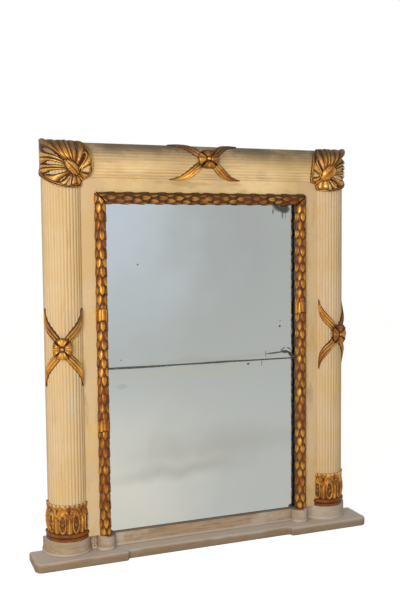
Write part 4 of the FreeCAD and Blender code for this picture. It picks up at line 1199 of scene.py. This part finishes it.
def make_camera():
    """The camera at the photograph's viewing angle."""
    camera = bpy.data.cameras.new("camera")
    camera.sensor_fit = "VERTICAL"
    camera.sensor_height = SENSOR_HEIGHT
    camera.lens = CAMERA_LENS
    holder = add_object("camera", camera)
    holder.matrix_world = Matrix.Translation(CAMERA_PLACE)
    for angle, axis in ((-CAMERA_YAW, "Z"), (QUARTER + CAMERA_PITCH, "X"), (CAMERA_ROLL, "Z")):
        holder.matrix_world = holder.matrix_world @ Matrix.Rotation(angle, 4, axis)
    bpy.context.scene.camera = holder


def make_world():
    """White where it is seen, and a soft fill where it lights."""
    world = bpy.data.worlds.new("studio")
    sky = Finish(world)
    light = sky.add("Background", {"Color": WARM_WHITE, "Strength": FILL_STRENGTH})
    plain = sky.add("Background", {"Color": WHITE, "Strength": 1.0})
    sky.add("OutputWorld", {"Surface": sky.seen_white(light, plain)})
    bpy.context.scene.world = world


def make_floor():
    """Plain pale floor that keeps a soft shadow."""
    bm = bmesh.new()
    bmesh.ops.create_grid(bm, x_segments=1, y_segments=1, size=FLOOR_REACH)
    mesh = bpy.data.meshes.new("floor")
    bm.to_mesh(mesh)
    bm.free()
    floor = add_object("floor", mesh)
    material = bpy.data.materials.new("floor")
    ground = Finish(material)
    matt = ground.add("BsdfDiffuse", {"Color": FLOOR_COLOUR})
    glow = ground.add("Emission", {"Color": WHITE, "Strength": FLOOR_GLOW})
    both = ground.add("AddShader", {0: matt.outputs[0], 1: glow.outputs[0]})
    ground.add("OutputMaterial", {"Surface": ground.seen_white(matt, both)})
    mesh.materials.append(material)


def make_key_light():
    """One large soft box, in front and to the left."""
    light = bpy.data.lights.new("key", "AREA")
    light.shape = "RECTANGLE"
    light.size = KEY_SIZE
    light.size_y = KEY_SIZE
    light.energy = KEY_POWER
    light.color = WARM_WHITE
    lamp = add_object("key", light)
    lamp.location = KEY_PLACE
    lamp.rotation_euler = (Vector(KEY_AIM) - Vector(KEY_PLACE)).to_track_quat("-Z", "Y").to_euler()


# Operators

class OVERMANTEL_OT_reeded_members(bpy.types.Operator):
    """Makes the two reeded columns and the member across the top"""
    bl_idname = "overmantel.reeded_members"
    bl_label = "Reeded members"

    def execute(self, context):
        for member in MEMBERS:
            make_member(member)
        return {"FINISHED"}


class OVERMANTEL_OT_capitals(bpy.types.Operator):
    """Carves the two leaf capitals"""
    bl_idname = "overmantel.capitals"
    bl_label = "Capitals"

    def execute(self, context):
        for member in SIDES:
            make_capital(member)
        return {"FINISHED"}


class OVERMANTEL_OT_crossed_leaves(bpy.types.Operator):
    """Carves the crossed leaves and their pateras"""
    bl_idname = "overmantel.crossed_leaves"
    bl_label = "Crossed leaves"

    def execute(self, context):
        for member in MEMBERS:
            make_crossed_leaves(member)
            make_patera(member)
        return {"FINISHED"}


class OVERMANTEL_OT_palmettes(bpy.types.Operator):
    """Carves the two corner palmettes"""
    bl_idname = "overmantel.palmettes"
    bl_label = "Corner palmettes"

    def execute(self, context):
        for member in SIDES:
            make_palmette(member)
        return {"FINISHED"}


class OVERMANTEL_OT_laurel(bpy.types.Operator):
    """Carves the laurel moulding round the glass"""
    bl_idname = "overmantel.laurel"
    bl_label = "Laurel moulding"

    def execute(self, context):
        for member in MEMBERS:
            make_laurel(member)
        return {"FINISHED"}


class OVERMANTEL_OT_finishes(bpy.types.Operator):
    """Paints the boards, plinth, plates, back and fixings"""
    bl_idname = "overmantel.finishes"
    bl_label = "Finishes"

    def execute(self, context):
        for name, nodes in CARRIED_FINISHES.items():
            for node in nodes:
                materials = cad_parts[node].data.materials
                materials.clear()
                materials.append(finish_named(name))
        return {"FINISHED"}


class OVERMANTEL_OT_studio(bpy.types.Operator):
    """Sets up the floor, the light and the camera"""
    bl_idname = "overmantel.studio"
    bl_label = "Studio"

    def execute(self, context):
        make_camera()
        make_world()
        make_floor()
        make_key_light()
        context.scene.view_settings.view_transform = "Standard"
        return {"FINISHED"}


class OVERMANTEL_PT_panel(bpy.types.Panel):
    """Lists the pieces in the order that they are made"""
    bl_label = "Overmantel mirror"
    bl_idname = "OVERMANTEL_PT_panel"
    bl_space_type = "VIEW_3D"
    bl_region_type = "UI"
    bl_category = "Overmantel"

    def draw(self, context):
        for operator in OPERATORS:
            self.layout.operator(operator.bl_idname)


OPERATORS = (
    OVERMANTEL_OT_reeded_members,
    OVERMANTEL_OT_capitals,
    OVERMANTEL_OT_crossed_leaves,
    OVERMANTEL_OT_palmettes,
    OVERMANTEL_OT_laurel,
    OVERMANTEL_OT_finishes,
    OVERMANTEL_OT_studio,
)
CLASSES = (OvermantelSizes, OvermantelColours) + OPERATORS + (OVERMANTEL_PT_panel,)


def register():
    """Registers the classes and the scene's settings."""
    for item in CLASSES:
        bpy.utils.register_class(item)
    bpy.types.Scene.overmantel_sizes = PointerProperty(type=OvermantelSizes)
    bpy.types.Scene.overmantel_colours = PointerProperty(type=OvermantelColours)


def unregister():
    """Takes the classes and settings away again."""
    del bpy.types.Scene.overmantel_colours
    del bpy.types.Scene.overmantel_sizes
    for item in reversed(CLASSES):
        bpy.utils.unregister_class(item)


def main():
    """Registers the classes and makes the mirror by running each operator in turn."""
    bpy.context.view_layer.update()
    register()
    for operator in OPERATORS:
        group, name = operator.bl_idname.split(".")
        getattr(getattr(bpy.ops, group), name)()


if __name__ == "__main__":
    main()
